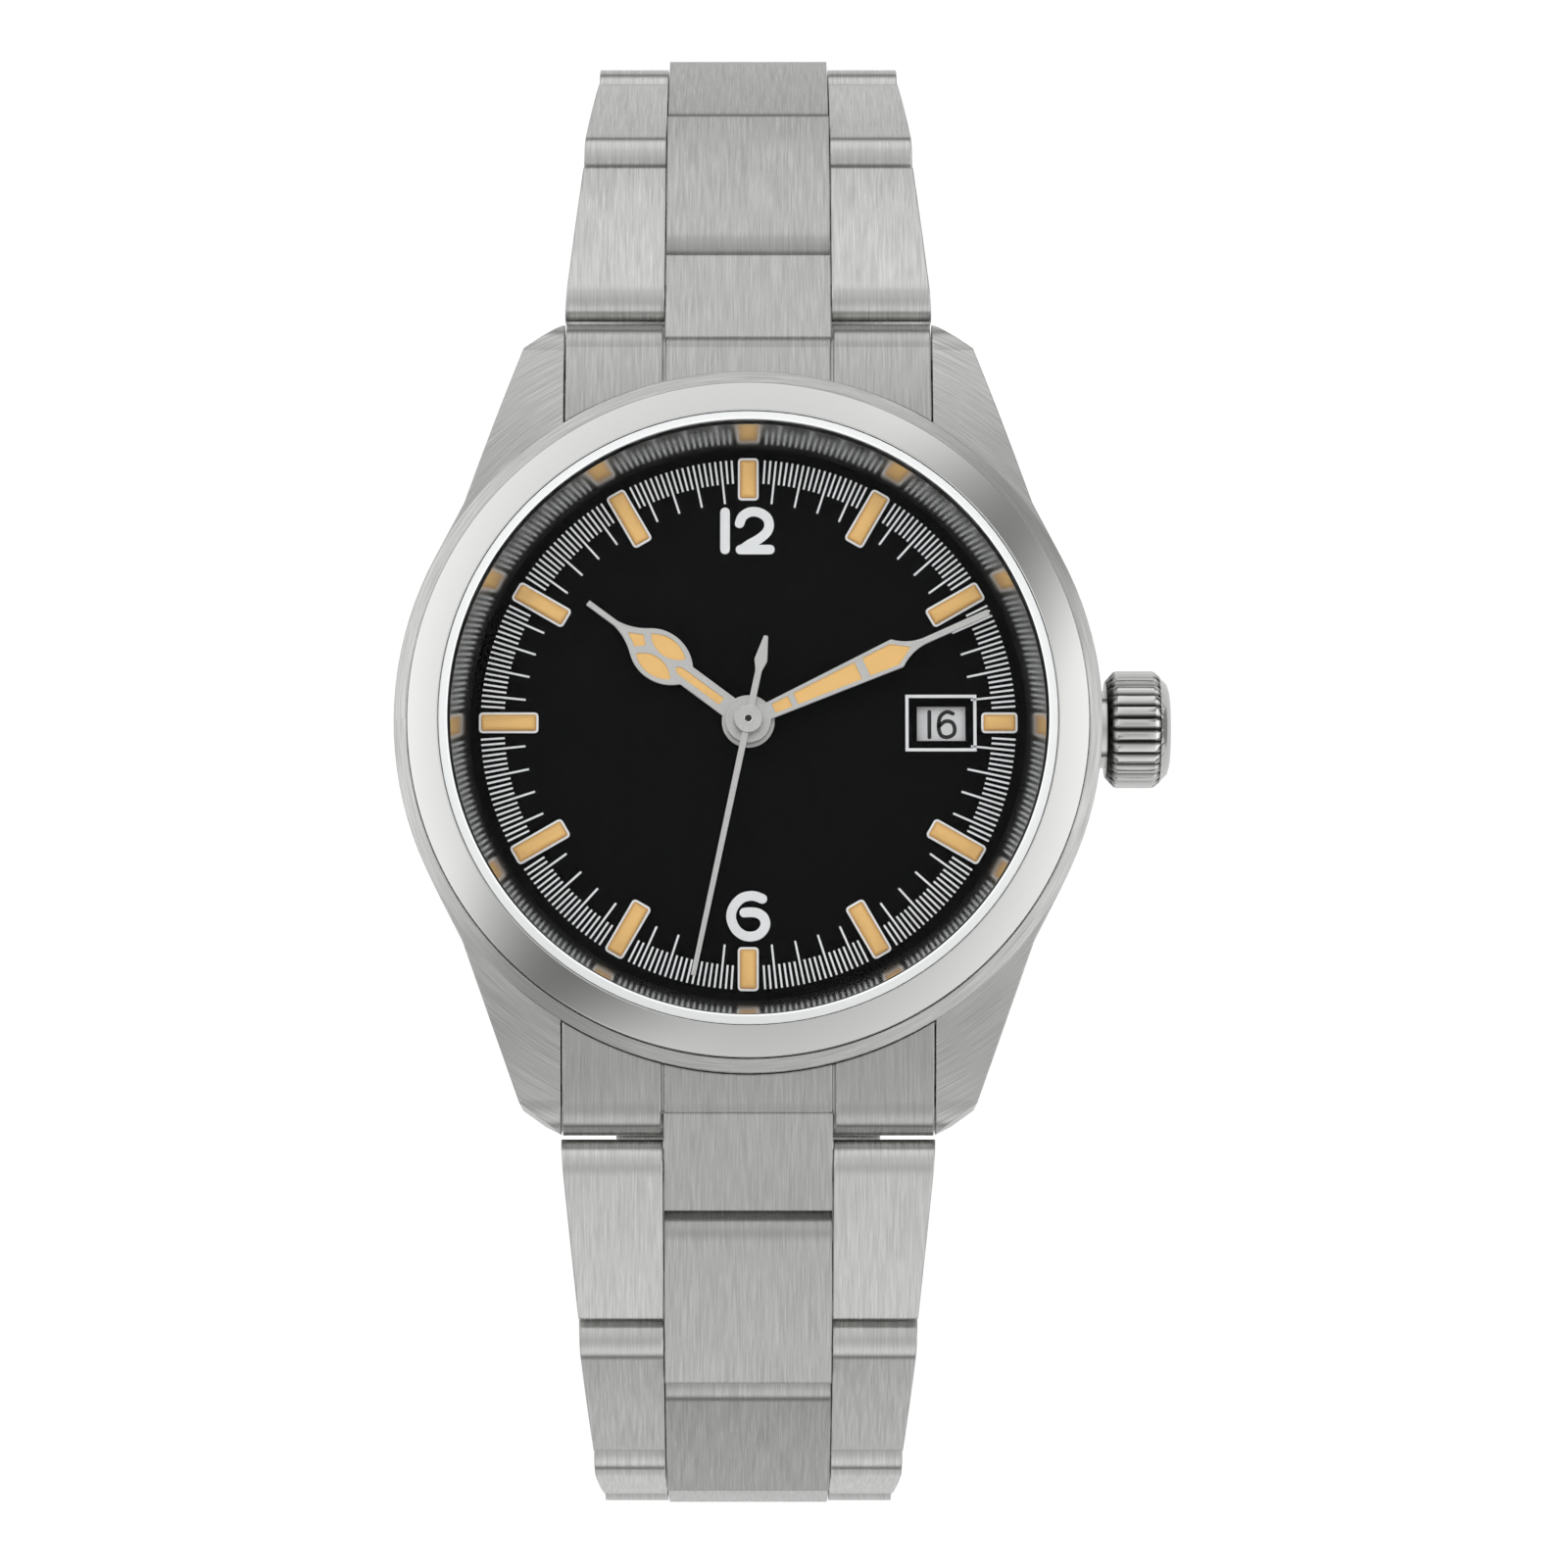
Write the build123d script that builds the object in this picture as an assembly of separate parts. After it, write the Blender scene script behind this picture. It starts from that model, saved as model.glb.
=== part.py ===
from build123d import *
import os
from math import asin, cos, degrees, radians, sin, sqrt

os.makedirs("parts", exist_ok=True)

# A steel field watch on a bracelet of three-piece rows with a folding clasp.
# The origin is the middle of the case back's outer face. +Z points out of the
# dial, +Y to 12 o'clock and +X to the crown. Lengths are in millimetres and
# angles in degrees; hand and marker angles run clockwise from 12 o'clock.

# Case
case_r = 19.0
case_wall = 2.8
case_base_z = 0.8
case_edge_z = 9.0
edge_bevel = 0.7
ledge_rise = 0.25
fit = 0.05
bore_r = case_r - case_wall
overrun = 2.0

# Lugs and the gap between them
lug_gap = 20.0
lug_reach = 3.1
lug_nose_w = 2.2
lug_nose_l = 1.6
lug_flank_out = 0.3
lug_flank_angle = 37.5
lug_root_angle = 27.0
lug_crest_r = 22.0
lug_crest_l = 8.6
lug_nose_r = 1.7
lug_under_z = 2.6
lug_heel_l = 6.1
lug_tip_y = case_r + lug_reach
lug_crest_y = lug_tip_y - lug_crest_l

# Bezel, crystal and the sloped ring round the dial
bezel_seat_z = 8.5
bezel_rim_z = 9.75
bezel_top_z = 10.3
bezel_lip = 0.25
bezel_w = 2.45
crystal_t = 1.5
crystal_base_z = 9.1
crystal_bevel = 0.4
rehaut_foot_w = 1.2
rehaut_head_w = 0.27
crystal_r = case_r - bezel_w

# Screwed case back
back_inset = 1.6
back_bevel = 0.6
back_floor_t = 1.4
notch_count = 6
notch_w = 2.2
notch_l = 1.6
notch_depth = 0.4
back_r = case_r - back_inset

# Dial, its date window and the raised hour marks
dial_play = 0.25
dial_t = 0.4
dial_z = 6.3
dial_hole_r = 1.05
date_window_inset = 2.2
date_window_w = 2.62
date_window_h = 1.88
date_window_bevel = 0.3
mark_w = 1.12
mark_margin = 1.45
mark_rim = 0.12
mark_corner = 0.25
mark_base_t = 0.12
lume_t = 0.2
mark_lengths = {0: 2.32, 90: 1.95, 180: 2.36}
mark_length = 3.2
mark_step = 30
dial_r = bore_r - dial_play
mark_end_r = dial_r - mark_margin

# Movement: main plate, date disc, bridge, rotor and balance
plate_rim = 3.55
plate_z = 3.9
plate_floor_z = 5.9
date_disc_w = 4.0
date_disc_t = 0.2
disc_play = 0.05
post_hole_r = 0.75
bridge_inset = 3.15
bridge_z = 2.9
bridge_t = 1.0
balance_angle = 230.9
balance_margin = 0.55
balance_r = 4.2
balance_rim = 0.6
balance_t = 0.35
balance_arm = 0.6
balance_staff_r = 0.25
staff_sides = 6
balance_gap = 0.5
rotor_inset = 0.4
rotor_rim = 1.8
rotor_rim_t = 1.1
rotor_plate_t = 0.4
rotor_hub_r = 2.2
rotor_z = 1.6
rotor_post_r = 0.8
plate_r = bore_r - fit
date_disc_r = plate_r - plate_rim
date_window_x = date_disc_r - date_window_inset
bridge_r = plate_r - bridge_inset
rotor_r = bridge_r - rotor_inset

# Hands, their hubs and the nested arbors that carry them
hour_angle = 306.8
minute_angle = 65.6
seconds_angle = 192.0
hand_t = 0.2
hour_hand_z = 7.15
minute_hand_z = 7.65
seconds_hand_z = 8.15
hour_hub_r = 1.42
minute_hub_r = 1.22
seconds_hub_r = 0.75
hour_pipe_r = 0.95
hour_wheel_r = 1.9
hour_wheel_t = 0.25
cannon_r = 0.68
seconds_arbor_r = 0.32
running_fit = 0.04
pinion_z = 4.2
hub_cap_t = 0.35
hand_lume_inset = 0.05

# Hour hand: stem, bulb and needle, measured from the centre of the dial
hour_stem_w = 1.16
hour_bulb_start = 4.15
hour_bulb_mid = 5.8
hour_bulb_half = 1.36
hour_bulb_end = 7.2
hour_bulb_end_half = 0.95
hour_neck_mid = 7.9
hour_neck_mid_half = 0.48
hour_needle_start = 8.9
hour_needle_w = 0.31
hour_length = 10.8
hour_slot_start = 1.8
hour_slot_end = 4.62
hour_slot_tip = 4.93
hour_slot_w = 0.44
petal_start = 4.72
petal_end = 7.06
petal_half = 0.68
petal_outer = 1.12
petal_inner = 0.12
kite_start = 6.9
kite_mid = 7.35
kite_end = 8.1
kite_half = 0.41

# Minute hand
minute_root_w = 0.8
minute_shoulder = 8.8
minute_shoulder_w = 1.64
minute_neck_mid = 9.5
minute_neck_mid_half = 0.38
minute_needle_start = 10.4
minute_needle_w = 0.34
minute_tip_in = 0.3
minute_rim = 0.2
minute_cells = ((1.5, 2.48), (2.79, 6.5))
minute_cell_start = 6.96
minute_cell_shoulder = 8.65
minute_cell_tip = 9.6
minute_length = mark_end_r - minute_tip_in

# Seconds hand and its tail
seconds_tip_in = 0.4
seconds_root_w = 0.35
seconds_tip_w = 0.25
tail_length = 4.6
tail_base = 2.7
tail_wide = 3.25
tail_wide_w = 0.7
tail_tip_w = 0.22
seconds_length = mark_end_r - seconds_tip_in

# Crown, stem, tube and the lever that holds the stem
crown_z = 4.9
crown_r = 3.18
crown_gap = 0.35
crown_knurl_l = 3.05
crown_rim_r = 2.75
crown_cap_r = 1.9
crown_cap_l = 0.45
crown_teeth = 28
knurl_depth = 0.28
crest_share = 0.5
crown_skirt_l = 1.6
crown_pull = 1.3
tube_r = 2.1
tube_in = 0.2
stem_r = 0.6
stem_end_l = 1.1
stem_neck_in = 7.55
stem_neck_l = 0.5
stem_neck_r = 0.35
lever_l = 2.6
lever_w = 1.6
lever_t = 0.8
tube_in_x = bore_r + tube_in
stem_neck_x = plate_r - stem_neck_in
stem_in_x = stem_neck_x - stem_end_l

# Bracelet rows
row_count = 6
row_pitch = 10.0
row_t = 3.0
row_crown = 0.12
pivot_inset = 1.9
row_gap = 0.1
side_gap = 0.06
centre_w = 9.0
first_pivot_out = 1.85
first_pivot_z = 5.4
tongue_angle = 22.0
first_row_angle = 27.0
row_bend = 28.4
width_near = lug_gap
width_far = 16.0
taper_length = 40.0
row_pin_r = 0.6
far_bevel = 0.3
first_pivot_y = lug_tip_y + first_pivot_out

# End pieces between the lugs, and the spring bars
end_gap = 0.1
end_nose_r = 1.55
end_ear_out = 0.04
end_centre_in = 1.0
end_under_z = 3.4
end_groove_w = 0.2
end_groove_depth = 0.25
tongue_drop = 0.12
tongue_root = 1.72
spring_bar_in = 2.2
spring_bar_z = 4.9
spring_bar_r = 0.6
spring_bar_tip_r = 0.4
spring_bar_tip_l = 1.1
end_ear_y = lug_tip_y + end_ear_out
end_centre_y = lug_tip_y - end_centre_in
spring_bar_y = lug_tip_y - spring_bar_in

# Folding clasp: heights are measured inwards from its outer face
clasp_flat = 8.0
clasp_bow_r = 50.0
clasp_plate_t = 1.0
clasp_bar_h = 3.1
clasp_wall_h = 3.6
clasp_wall_t = 1.0
clasp_ear_r = 1.2
clasp_boss_gap = 0.2
clasp_hinge_in = 0.1
clasp_hinge_h = 1.85
blade_w = 8.6
blade_t = 0.8
outer_blade_h = 1.45
inner_blade_h = 2.7
barrel_r = 0.75
hinge_pin_r = 0.4
fold_in = 6.3
fold_h = 2.3
knuckle_w = 3.8
plate_end_in = 2.9
flap_hinge_y = -6.8
flap_hinge_h = 0.5
flap_end_in = 2.7
flap_play = 0.15
flap_barrel_r = 0.5
clasp_pin_r = 0.45
buckle_barrel_r = 0.9

FLOOR = (Align.CENTER, Align.CENTER, Align.MIN)


def closed_face(*edges):
    """A flat face inside the given lines and arcs, some of them in lists."""
    flat = []
    for edge in edges:
        flat += edge if isinstance(edge, list) else [edge]
    return make_face(flat)


def turned(*points):
    """A solid turned about the Z axis from points (radius, height)."""
    outline = Polyline(*[(r, 0, z) for r, z in points], close=True)
    return revolve(make_face(outline), Axis.Z)


def round_bar(r, z0, z1):
    """An upright round bar on the Z axis."""
    return Pos(0, 0, z0) * Cylinder(r, z1 - z0, align=FLOOR)


def cross_bar(r, x0, x1, y=0, z=0):
    """A round bar along X."""
    return Pos(x0, y, z) * Rot(0, 90, 0) * Cylinder(r, x1 - x0, align=FLOOR)


def slab(profile, x0, x1):
    """A profile drawn in (y, z) and extruded from x0 to x1."""
    return Pos(x0, 0, 0) * extrude(Plane.YZ * profile, amount=x1 - x0)


def plan_slab(profile, z0, z1):
    """A profile drawn in (x, y) and extruded from z0 to z1."""
    return Pos(0, 0, z0) * extrude(profile, amount=z1 - z0)


def polygon(*points):
    return make_face(Polyline(*points, close=True))


def polar(r, angle):
    """A point at an angle counted from +X towards +Y."""
    return (r * cos(radians(angle)), r * sin(radians(angle)))


def clock_turned(shape, angle):
    """Turns a hand drawn along +Y to its angle on the dial."""
    return Rot(0, 0, -angle) * shape


def half_width(s):
    """Half the bracelet's width at a distance s from the case."""
    rest = max(1 - s / taper_length, 0)
    return (width_far + (width_near - width_far) * rest**2) / 2


def crest_z(y):
    """Height of the curved top of the lugs and the end pieces."""
    if y <= lug_crest_y:
        return case_edge_z
    return case_edge_z - lug_crest_r + sqrt(lug_crest_r**2 - (y - lug_crest_y) ** 2)


def crest_point(y):
    return (y, crest_z(y))


def crest_mid(y0, y1):
    return crest_point((y0 + y1) / 2)


# The bezel's outer face clears the case by one running fit
bezel_r = case_r - edge_bevel - fit


def mid_case():
    ring = turned(
        (bore_r, case_base_z),
        (case_r, case_base_z),
        (case_r, case_edge_z),
        (case_r - edge_bevel, case_edge_z + ledge_rise),
        (case_r - edge_bevel, bezel_seat_z),
        (bore_r, bezel_seat_z),
    )
    body = ring + [lug(sx, sy) for sx in (1, -1) for sy in (1, -1)]
    body -= round_bar(case_r - edge_bevel, bezel_seat_z, case_edge_z + overrun)
    return body - cross_bar(tube_r + running_fit, bore_r - overrun, case_r + overrun, z=crown_z)


def lug(side_x, side_y):
    """One lug: its plan outline crossed with its side outline."""
    inner_x = lug_gap / 2
    root = polar(case_r, lug_root_angle)
    flank = polar(case_r + lug_flank_out, lug_flank_angle)
    inset = polar(bore_r + edge_bevel, lug_root_angle)
    plan = polygon(
        inset,
        root,
        flank,
        (inner_x + lug_nose_w, lug_tip_y - lug_nose_l),
        (inner_x, lug_tip_y),
        (inner_x, sqrt((bore_r + edge_bevel) ** 2 - inner_x**2)),
    )
    under_z = case_base_z
    nose_y = lug_tip_y - lug_nose_r
    nose_z = crest_z(nose_y) - lug_nose_r
    side = closed_face(
        Polyline((0, case_edge_z), (lug_crest_y, case_edge_z)),
        ThreePointArc(crest_point(lug_crest_y), crest_mid(lug_crest_y, nose_y), crest_point(nose_y)),
        ThreePointArc(
            crest_point(nose_y),
            (nose_y + lug_nose_r * sin(radians(45)), nose_z + lug_nose_r * sin(radians(45))),
            (lug_tip_y, nose_z),
        ),
        Polyline(
            (lug_tip_y, nose_z),
            (lug_tip_y - edge_bevel, lug_under_z),
            (lug_tip_y - lug_heel_l, under_z),
            (0, under_z),
            (0, case_edge_z),
        ),
    )
    solid = plan_slab(plan, under_z, case_edge_z) & slab(side, inner_x, case_r)
    hole = cross_bar(spring_bar_r, inner_x, inner_x + spring_bar_tip_l + fit, spring_bar_y, spring_bar_z)
    solid = solid - hole
    if side_x < 0:
        solid = mirror(solid, about=Plane.YZ)
    if side_y < 0:
        solid = mirror(solid, about=Plane.XZ)
    return solid


def bezel():
    bezel_bore_r = crystal_r + running_fit
    return turned(
        (bezel_bore_r, bezel_seat_z),
        (bezel_r, bezel_seat_z),
        (bezel_r, bezel_rim_z),
        (bezel_bore_r + bezel_lip, bezel_top_z),
        (bezel_bore_r, bezel_top_z),
    )


def crystal():
    top_z = crystal_base_z + crystal_t
    return turned(
        (0, crystal_base_z),
        (crystal_r, crystal_base_z),
        (crystal_r, top_z - crystal_bevel),
        (crystal_r - crystal_bevel, top_z),
        (0, top_z),
    )


def rehaut():
    return turned(
        (bore_r - rehaut_foot_w, dial_z + dial_t),
        (bore_r - fit, dial_z + dial_t),
        (bore_r - fit, crystal_base_z),
        (bore_r - rehaut_head_w, crystal_base_z),
    )


def case_back():
    boss_r = bore_r - fit
    body = turned(
        (0, 0),
        (back_r - back_bevel, 0),
        (back_r, case_base_z),
        (boss_r, case_base_z),
        (boss_r, back_floor_t),
        (0, back_floor_t),
    )
    notch = Pos(back_r - notch_l / 2, 0, 0) * Box(notch_l, notch_w, 2 * notch_depth)
    return body - [Rot(0, 0, i * 360 / notch_count) * notch for i in range(notch_count)]


def crown_tube():
    mouth_x = case_r + crown_skirt_l - fit
    body = cross_bar(tube_r, tube_in_x, mouth_x, z=crown_z)
    return body - cross_bar(stem_r + fit, tube_in_x - overrun, mouth_x + overrun, z=crown_z)


def main_plate():
    body = turned(
        (post_hole_r, plate_z),
        (plate_r, plate_z),
        (plate_r, dial_z),
        (date_disc_r + fit, dial_z),
        (date_disc_r + fit, plate_floor_z),
        (post_hole_r, plate_floor_z),
    )
    body -= cross_bar(stem_r + fit, stem_in_x - fit, plate_r + overrun, z=crown_z)
    body -= Pos(lever_x(), 0, plate_z) * Box(
        lever_w + 2 * fit + crown_pull, lever_l + 2 * fit, 2 * lever_pocket_h())
    return body


def lever_x():
    """The lever pocket's middle, which leaves room for the pull."""
    return stem_neck_x + stem_neck_l / 2 + crown_pull / 2


def lever_pocket_h():
    return crown_z + lever_t - plate_z


def balance_point():
    """Axis of the balance, as far out as the bridge's rim allows."""
    return polar(bridge_r - balance_r - balance_margin, balance_angle)


def movement_bridge():
    """Bridge over the wheels, open round the balance, with the rotor's post."""
    body = plan_slab(Circle(bridge_r), bridge_z, bridge_z + bridge_t)
    x, y = balance_point()
    body -= Pos(x, y, bridge_z) * Cylinder(balance_r + balance_gap, 2 * overrun)
    body -= Pos(lever_x(), 0, bridge_z + bridge_t) * Box(
        lever_w + 2 * fit + crown_pull, lever_l + 2 * fit, bridge_t)
    return body + round_bar(rotor_post_r, rotor_z, bridge_z)


def rotor():
    """Half-moon weight with a heavy rim, free to turn on the bridge's post."""
    top_z = rotor_z + running_fit + rotor_rim_t
    plate = plan_slab(Circle(rotor_r), top_z - rotor_plate_t, top_z)
    rim = plan_slab(Circle(rotor_r) - Circle(rotor_r - rotor_rim), top_z - rotor_rim_t, top_z)
    cut = Pos(0, rotor_r, top_z) * Box(2 * (rotor_r + overrun), 2 * rotor_r, 2 * rotor_rim_t + overrun)
    hub = round_bar(rotor_hub_r, rotor_z + running_fit, top_z)
    hole = round_bar(rotor_post_r + running_fit, rotor_z - overrun, top_z + overrun)
    return plate + rim - cut + hub - hole


def balance_wheel():
    z1 = bridge_z + bridge_t - balance_gap / 2
    z0 = z1 - balance_t
    place = Pos(*balance_point(), 0)
    wheel = plan_slab(Circle(balance_r) - Circle(balance_r - balance_rim), z0, z1)
    arm = Pos(0, 0, (z0 + z1) / 2) * Box(2 * balance_r - balance_rim, balance_arm, balance_t)
    staff = plan_slab(RegularPolygon(balance_staff_r, staff_sides), bridge_z, plate_z - fit)
    return place * (wheel + arm + staff)


def date_disc():
    z0 = plate_floor_z + disc_play
    inner_r = date_disc_r - date_disc_w
    return turned(
        (inner_r, z0),
        (date_disc_r, z0),
        (date_disc_r, z0 + date_disc_t),
        (inner_r, z0 + date_disc_t),
    )


def dial():
    top_z = dial_z + dial_t
    body = plan_slab(Circle(dial_r) - Circle(dial_hole_r), dial_z, top_z)
    place = Pos(date_window_x, 0, top_z)
    wide = Rectangle(date_window_w + 2 * date_window_bevel, date_window_h + 2 * date_window_bevel)
    narrow = Rectangle(date_window_w, date_window_h)
    window = extrude(narrow, amount=-dial_t)
    bevel = loft([wide, Pos(0, 0, -dial_t / 2) * narrow])
    return body - place * (window + bevel)


def mark_plan(length, rim):
    """A bar with cut corners, its outer end on the marks' circle."""
    w, l = mark_w - 2 * rim, length - 2 * rim
    plan = chamfer(Rectangle(w, l).vertices(), mark_corner - rim)
    return Pos(0, mark_end_r - length / 2) * plan


def marks(rim, z0, z1):
    solids = []
    for angle in range(0, 360, mark_step):
        length = mark_lengths.get(angle, mark_length)
        solids.append(clock_turned(plan_slab(mark_plan(length, rim), z0, z1), angle))
    return Compound(children=solids)


def hour_markers():
    z0 = dial_z + dial_t
    return marks(0, z0, z0 + mark_base_t)


def marker_lume():
    z0 = dial_z + dial_t + mark_base_t
    return marks(mark_rim, z0, z0 + lume_t)


def hour_outline():
    stem, needle = hour_stem_w / 2, hour_needle_w / 2
    right = [
        Polyline((0, 0), (stem, 0), (stem, hour_bulb_start)),
        ThreePointArc((stem, hour_bulb_start), (hour_bulb_half, hour_bulb_mid),
                      (hour_bulb_end_half, hour_bulb_end)),
        ThreePointArc((hour_bulb_end_half, hour_bulb_end), (hour_neck_mid_half, hour_neck_mid),
                      (needle, hour_needle_start)),
        Polyline((needle, hour_needle_start), (needle, hour_length), (0, hour_length), (0, 0)),
    ]
    half = make_face(right)
    return half + mirror(half, about=Plane.YZ)


def hour_cells():
    """The hand's four openings for lume: slot, two petals and a kite."""
    slot = hour_slot_w / 2
    cells = [polygon((-slot, hour_slot_start), (slot, hour_slot_start), (slot, hour_slot_end),
                     (0, hour_slot_tip), (-slot, hour_slot_end))]
    petal_mid = (petal_start + petal_end) / 2
    petal = closed_face(
        ThreePointArc((petal_half, petal_start), (petal_outer, petal_mid), (petal_half, petal_end)),
        ThreePointArc((petal_half, petal_end), (petal_inner, petal_mid), (petal_half, petal_start)),
    )
    cells += [petal, mirror(petal, about=Plane.YZ)]
    cells.append(polygon((0, kite_start), (kite_half, kite_mid), (0, kite_end), (-kite_half, kite_mid)))
    return cells


def minute_half(u):
    """Half the minute hand's width between its root and its shoulder."""
    share = u / minute_shoulder
    return (minute_root_w + (minute_shoulder_w - minute_root_w) * share) / 2


def minute_outline():
    root, needle = minute_root_w / 2, minute_needle_w / 2
    shoulder = (minute_shoulder_w / 2, minute_shoulder)
    half = closed_face(
        Polyline((0, 0), (root, 0), shoulder),
        ThreePointArc(shoulder, (minute_neck_mid_half, minute_neck_mid), (needle, minute_needle_start)),
        Polyline((needle, minute_needle_start), (needle, minute_length), (0, minute_length), (0, 0)),
    )
    return half + mirror(half, about=Plane.YZ)


def minute_cell_faces():
    cells = []
    for start, end in minute_cells:
        a, b = minute_half(start) - minute_rim, minute_half(end) - minute_rim
        cells.append(polygon((-a, start), (a, start), (b, end), (-b, end)))
    a = minute_half(minute_cell_start) - minute_rim
    b = minute_half(minute_cell_shoulder) - minute_rim
    cells.append(polygon((-a, minute_cell_start), (a, minute_cell_start), (b, minute_cell_shoulder),
                         (0, minute_cell_tip), (-b, minute_cell_shoulder)))
    return cells


def hand(outline, cells, z0, hub_r, bore_r, angle):
    """A flat hand with its hub, openings and bore."""
    blade = plan_slab(outline, z0, z0 + hand_t)
    hub = round_bar(hub_r, z0, z0 + hand_t)
    bore = round_bar(bore_r, z0 - overrun, z0 + overrun)
    openings = [plan_slab(cell, z0 - fit, z0 + hand_t + fit) for cell in cells]
    return clock_turned(blade + hub - bore - openings, angle)


def hand_lume(cells, z0, angle):
    fills = [plan_slab(cell, z0 + hand_lume_inset, z0 + hand_t - hand_lume_inset) for cell in cells]
    return Compound(children=[clock_turned(fill, angle) for fill in fills])


def hour_hand():
    return hand(hour_outline(), hour_cells(), hour_hand_z, hour_hub_r, hour_pipe_r, hour_angle)


def hour_hand_lume():
    return hand_lume(hour_cells(), hour_hand_z, hour_angle)


def minute_hand():
    return hand(minute_outline(), minute_cell_faces(), minute_hand_z, minute_hub_r, cannon_r,
                minute_angle)


def minute_hand_lume():
    return hand_lume(minute_cell_faces(), minute_hand_z, minute_angle)


def hour_wheel():
    z0 = plate_floor_z + disc_play
    return turned(
        (cannon_r + running_fit, z0),
        (hour_wheel_r, z0),
        (hour_wheel_r, z0 + hour_wheel_t),
        (hour_pipe_r, z0 + hour_wheel_t),
        (hour_pipe_r, hour_hand_z + hand_t),
        (cannon_r + running_fit, hour_hand_z + hand_t),
    )


def cannon_pinion():
    bore = seconds_arbor_r + running_fit
    return turned(
        (bore, pinion_z),
        (cannon_r, pinion_z),
        (cannon_r, minute_hand_z + hand_t),
        (bore, minute_hand_z + hand_t),
    )


def seconds_arbor():
    return round_bar(seconds_arbor_r, plate_z + running_fit, seconds_hand_z)


def seconds_hand():
    root, tip = seconds_root_w / 2, seconds_tip_w / 2
    wide, end = tail_wide_w / 2, tail_tip_w / 2
    outline = polygon(
        (root, 0), (tip, seconds_length), (-tip, seconds_length), (-root, 0),
        (-root, -tail_base), (-wide, -tail_wide), (-end, -tail_length),
        (end, -tail_length), (wide, -tail_wide), (root, -tail_base),
    )
    blade = plan_slab(outline, seconds_hand_z, seconds_hand_z + hand_t)
    cap = round_bar(seconds_hub_r, seconds_hand_z, seconds_hand_z + hub_cap_t)
    return clock_turned(blade + cap, seconds_angle)


def crown():
    """Knurled knob with a bevelled cap, bored for the tube and the stem."""
    pitch = 360 / crown_teeth
    points = []
    for i in range(crown_teeth):
        points += [
            polar(crown_r, i * pitch),
            polar(crown_r, (i + crest_share) * pitch),
            polar(crown_r - knurl_depth, (i + (1 + crest_share) / 2) * pitch),
        ]
    teeth = extrude(polygon(*points), amount=crown_knurl_l)
    cap = Pos(0, 0, crown_knurl_l) * turned(
        (0, 0),
        (crown_rim_r, 0),
        (crown_cap_r, crown_cap_l),
        (0, crown_cap_l),
    )
    skirt = round_bar(tube_r + 2 * fit, 0, crown_skirt_l)
    bore = round_bar(stem_r, 0, crown_skirt_l + stem_r)
    return Pos(case_r + crown_gap, 0, crown_z) * Rot(0, 90, 0) * (teeth + cap - skirt - bore)


def winding_stem():
    end_x = case_r + crown_gap + crown_skirt_l + stem_r
    body = cross_bar(stem_r, stem_in_x, end_x, z=crown_z)
    groove = cross_bar(stem_r + fit, stem_neck_x, stem_neck_x + stem_neck_l, z=crown_z)
    neck = cross_bar(stem_neck_r, stem_neck_x, stem_neck_x + stem_neck_l, z=crown_z)
    return body - groove + neck


def setting_lever():
    """A plate with a fork round the stem's neck, which shifts with the stem."""
    t = stem_neck_l - 2 * running_fit
    x0 = stem_neck_x + running_fit
    top_z = crown_z + lever_t - fit
    tine = Box(t, lever_l, top_z - plate_z + bridge_t / 2 - fit, align=(Align.MIN, Align.CENTER, Align.MAX))
    slot = Box(4 * t, 2 * (stem_neck_r + running_fit), top_z - crown_z + stem_neck_r + overrun,
               align=(Align.CENTER, Align.CENTER, Align.MAX))
    body = Pos(x0, 0, top_z) * (tine - Pos(0, 0, overrun) * slot)
    foot_z = plate_z - bridge_t / 2 + fit
    foot = Box(lever_w, lever_l, bridge_t / 2 - fit, align=(Align.MIN, Align.CENTER, Align.MIN))
    return body + Pos(stem_neck_x + stem_neck_l / 2 - lever_w / 2, 0, foot_z) * foot


def spring_bars():
    half = lug_gap / 2 + spring_bar_tip_l
    bars = [cross_bar(spring_bar_r, -half, half, side * spring_bar_y, spring_bar_z) for side in (1, -1)]
    return Compound(children=bars)


def end_piece_side():
    """Side outline of the piece between the lugs, with a rounded far end."""
    nose_y = end_ear_y - end_nose_r
    start_y = lug_crest_y - edge_bevel
    return closed_face(
        Polyline((start_y, crest_z(start_y)), crest_point(lug_crest_y)),
        ThreePointArc(crest_point(lug_crest_y), crest_mid(lug_crest_y, nose_y), crest_point(nose_y)),
        ThreePointArc(
            crest_point(nose_y),
            (end_ear_y, crest_z(nose_y) - end_nose_r),
            (nose_y, crest_z(nose_y) - 2 * end_nose_r),
        ),
        Polyline(
            (nose_y, crest_z(nose_y) - 2 * end_nose_r),
            (nose_y - end_nose_r, end_under_z),
            (start_y, end_under_z),
            (start_y, crest_z(start_y)),
        ),
    )


def tongue_profile():
    """The fixed short link that the first row hangs on, in its pivot's frame."""
    half, reach = row_t / 2, pivot_inset - row_gap / 2
    lift = half - tongue_drop
    back = -pivot_inset - tongue_root
    turn = degrees(asin(half / reach))
    return closed_face(
        Polyline((back, lift), (reach - row_gap / 2, lift), (reach, 0)),
        CenterArc((0, 0), reach, 0, -turn),
        Polyline(polar(reach, -turn), (back, -half), (back, lift)),
    )


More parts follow.
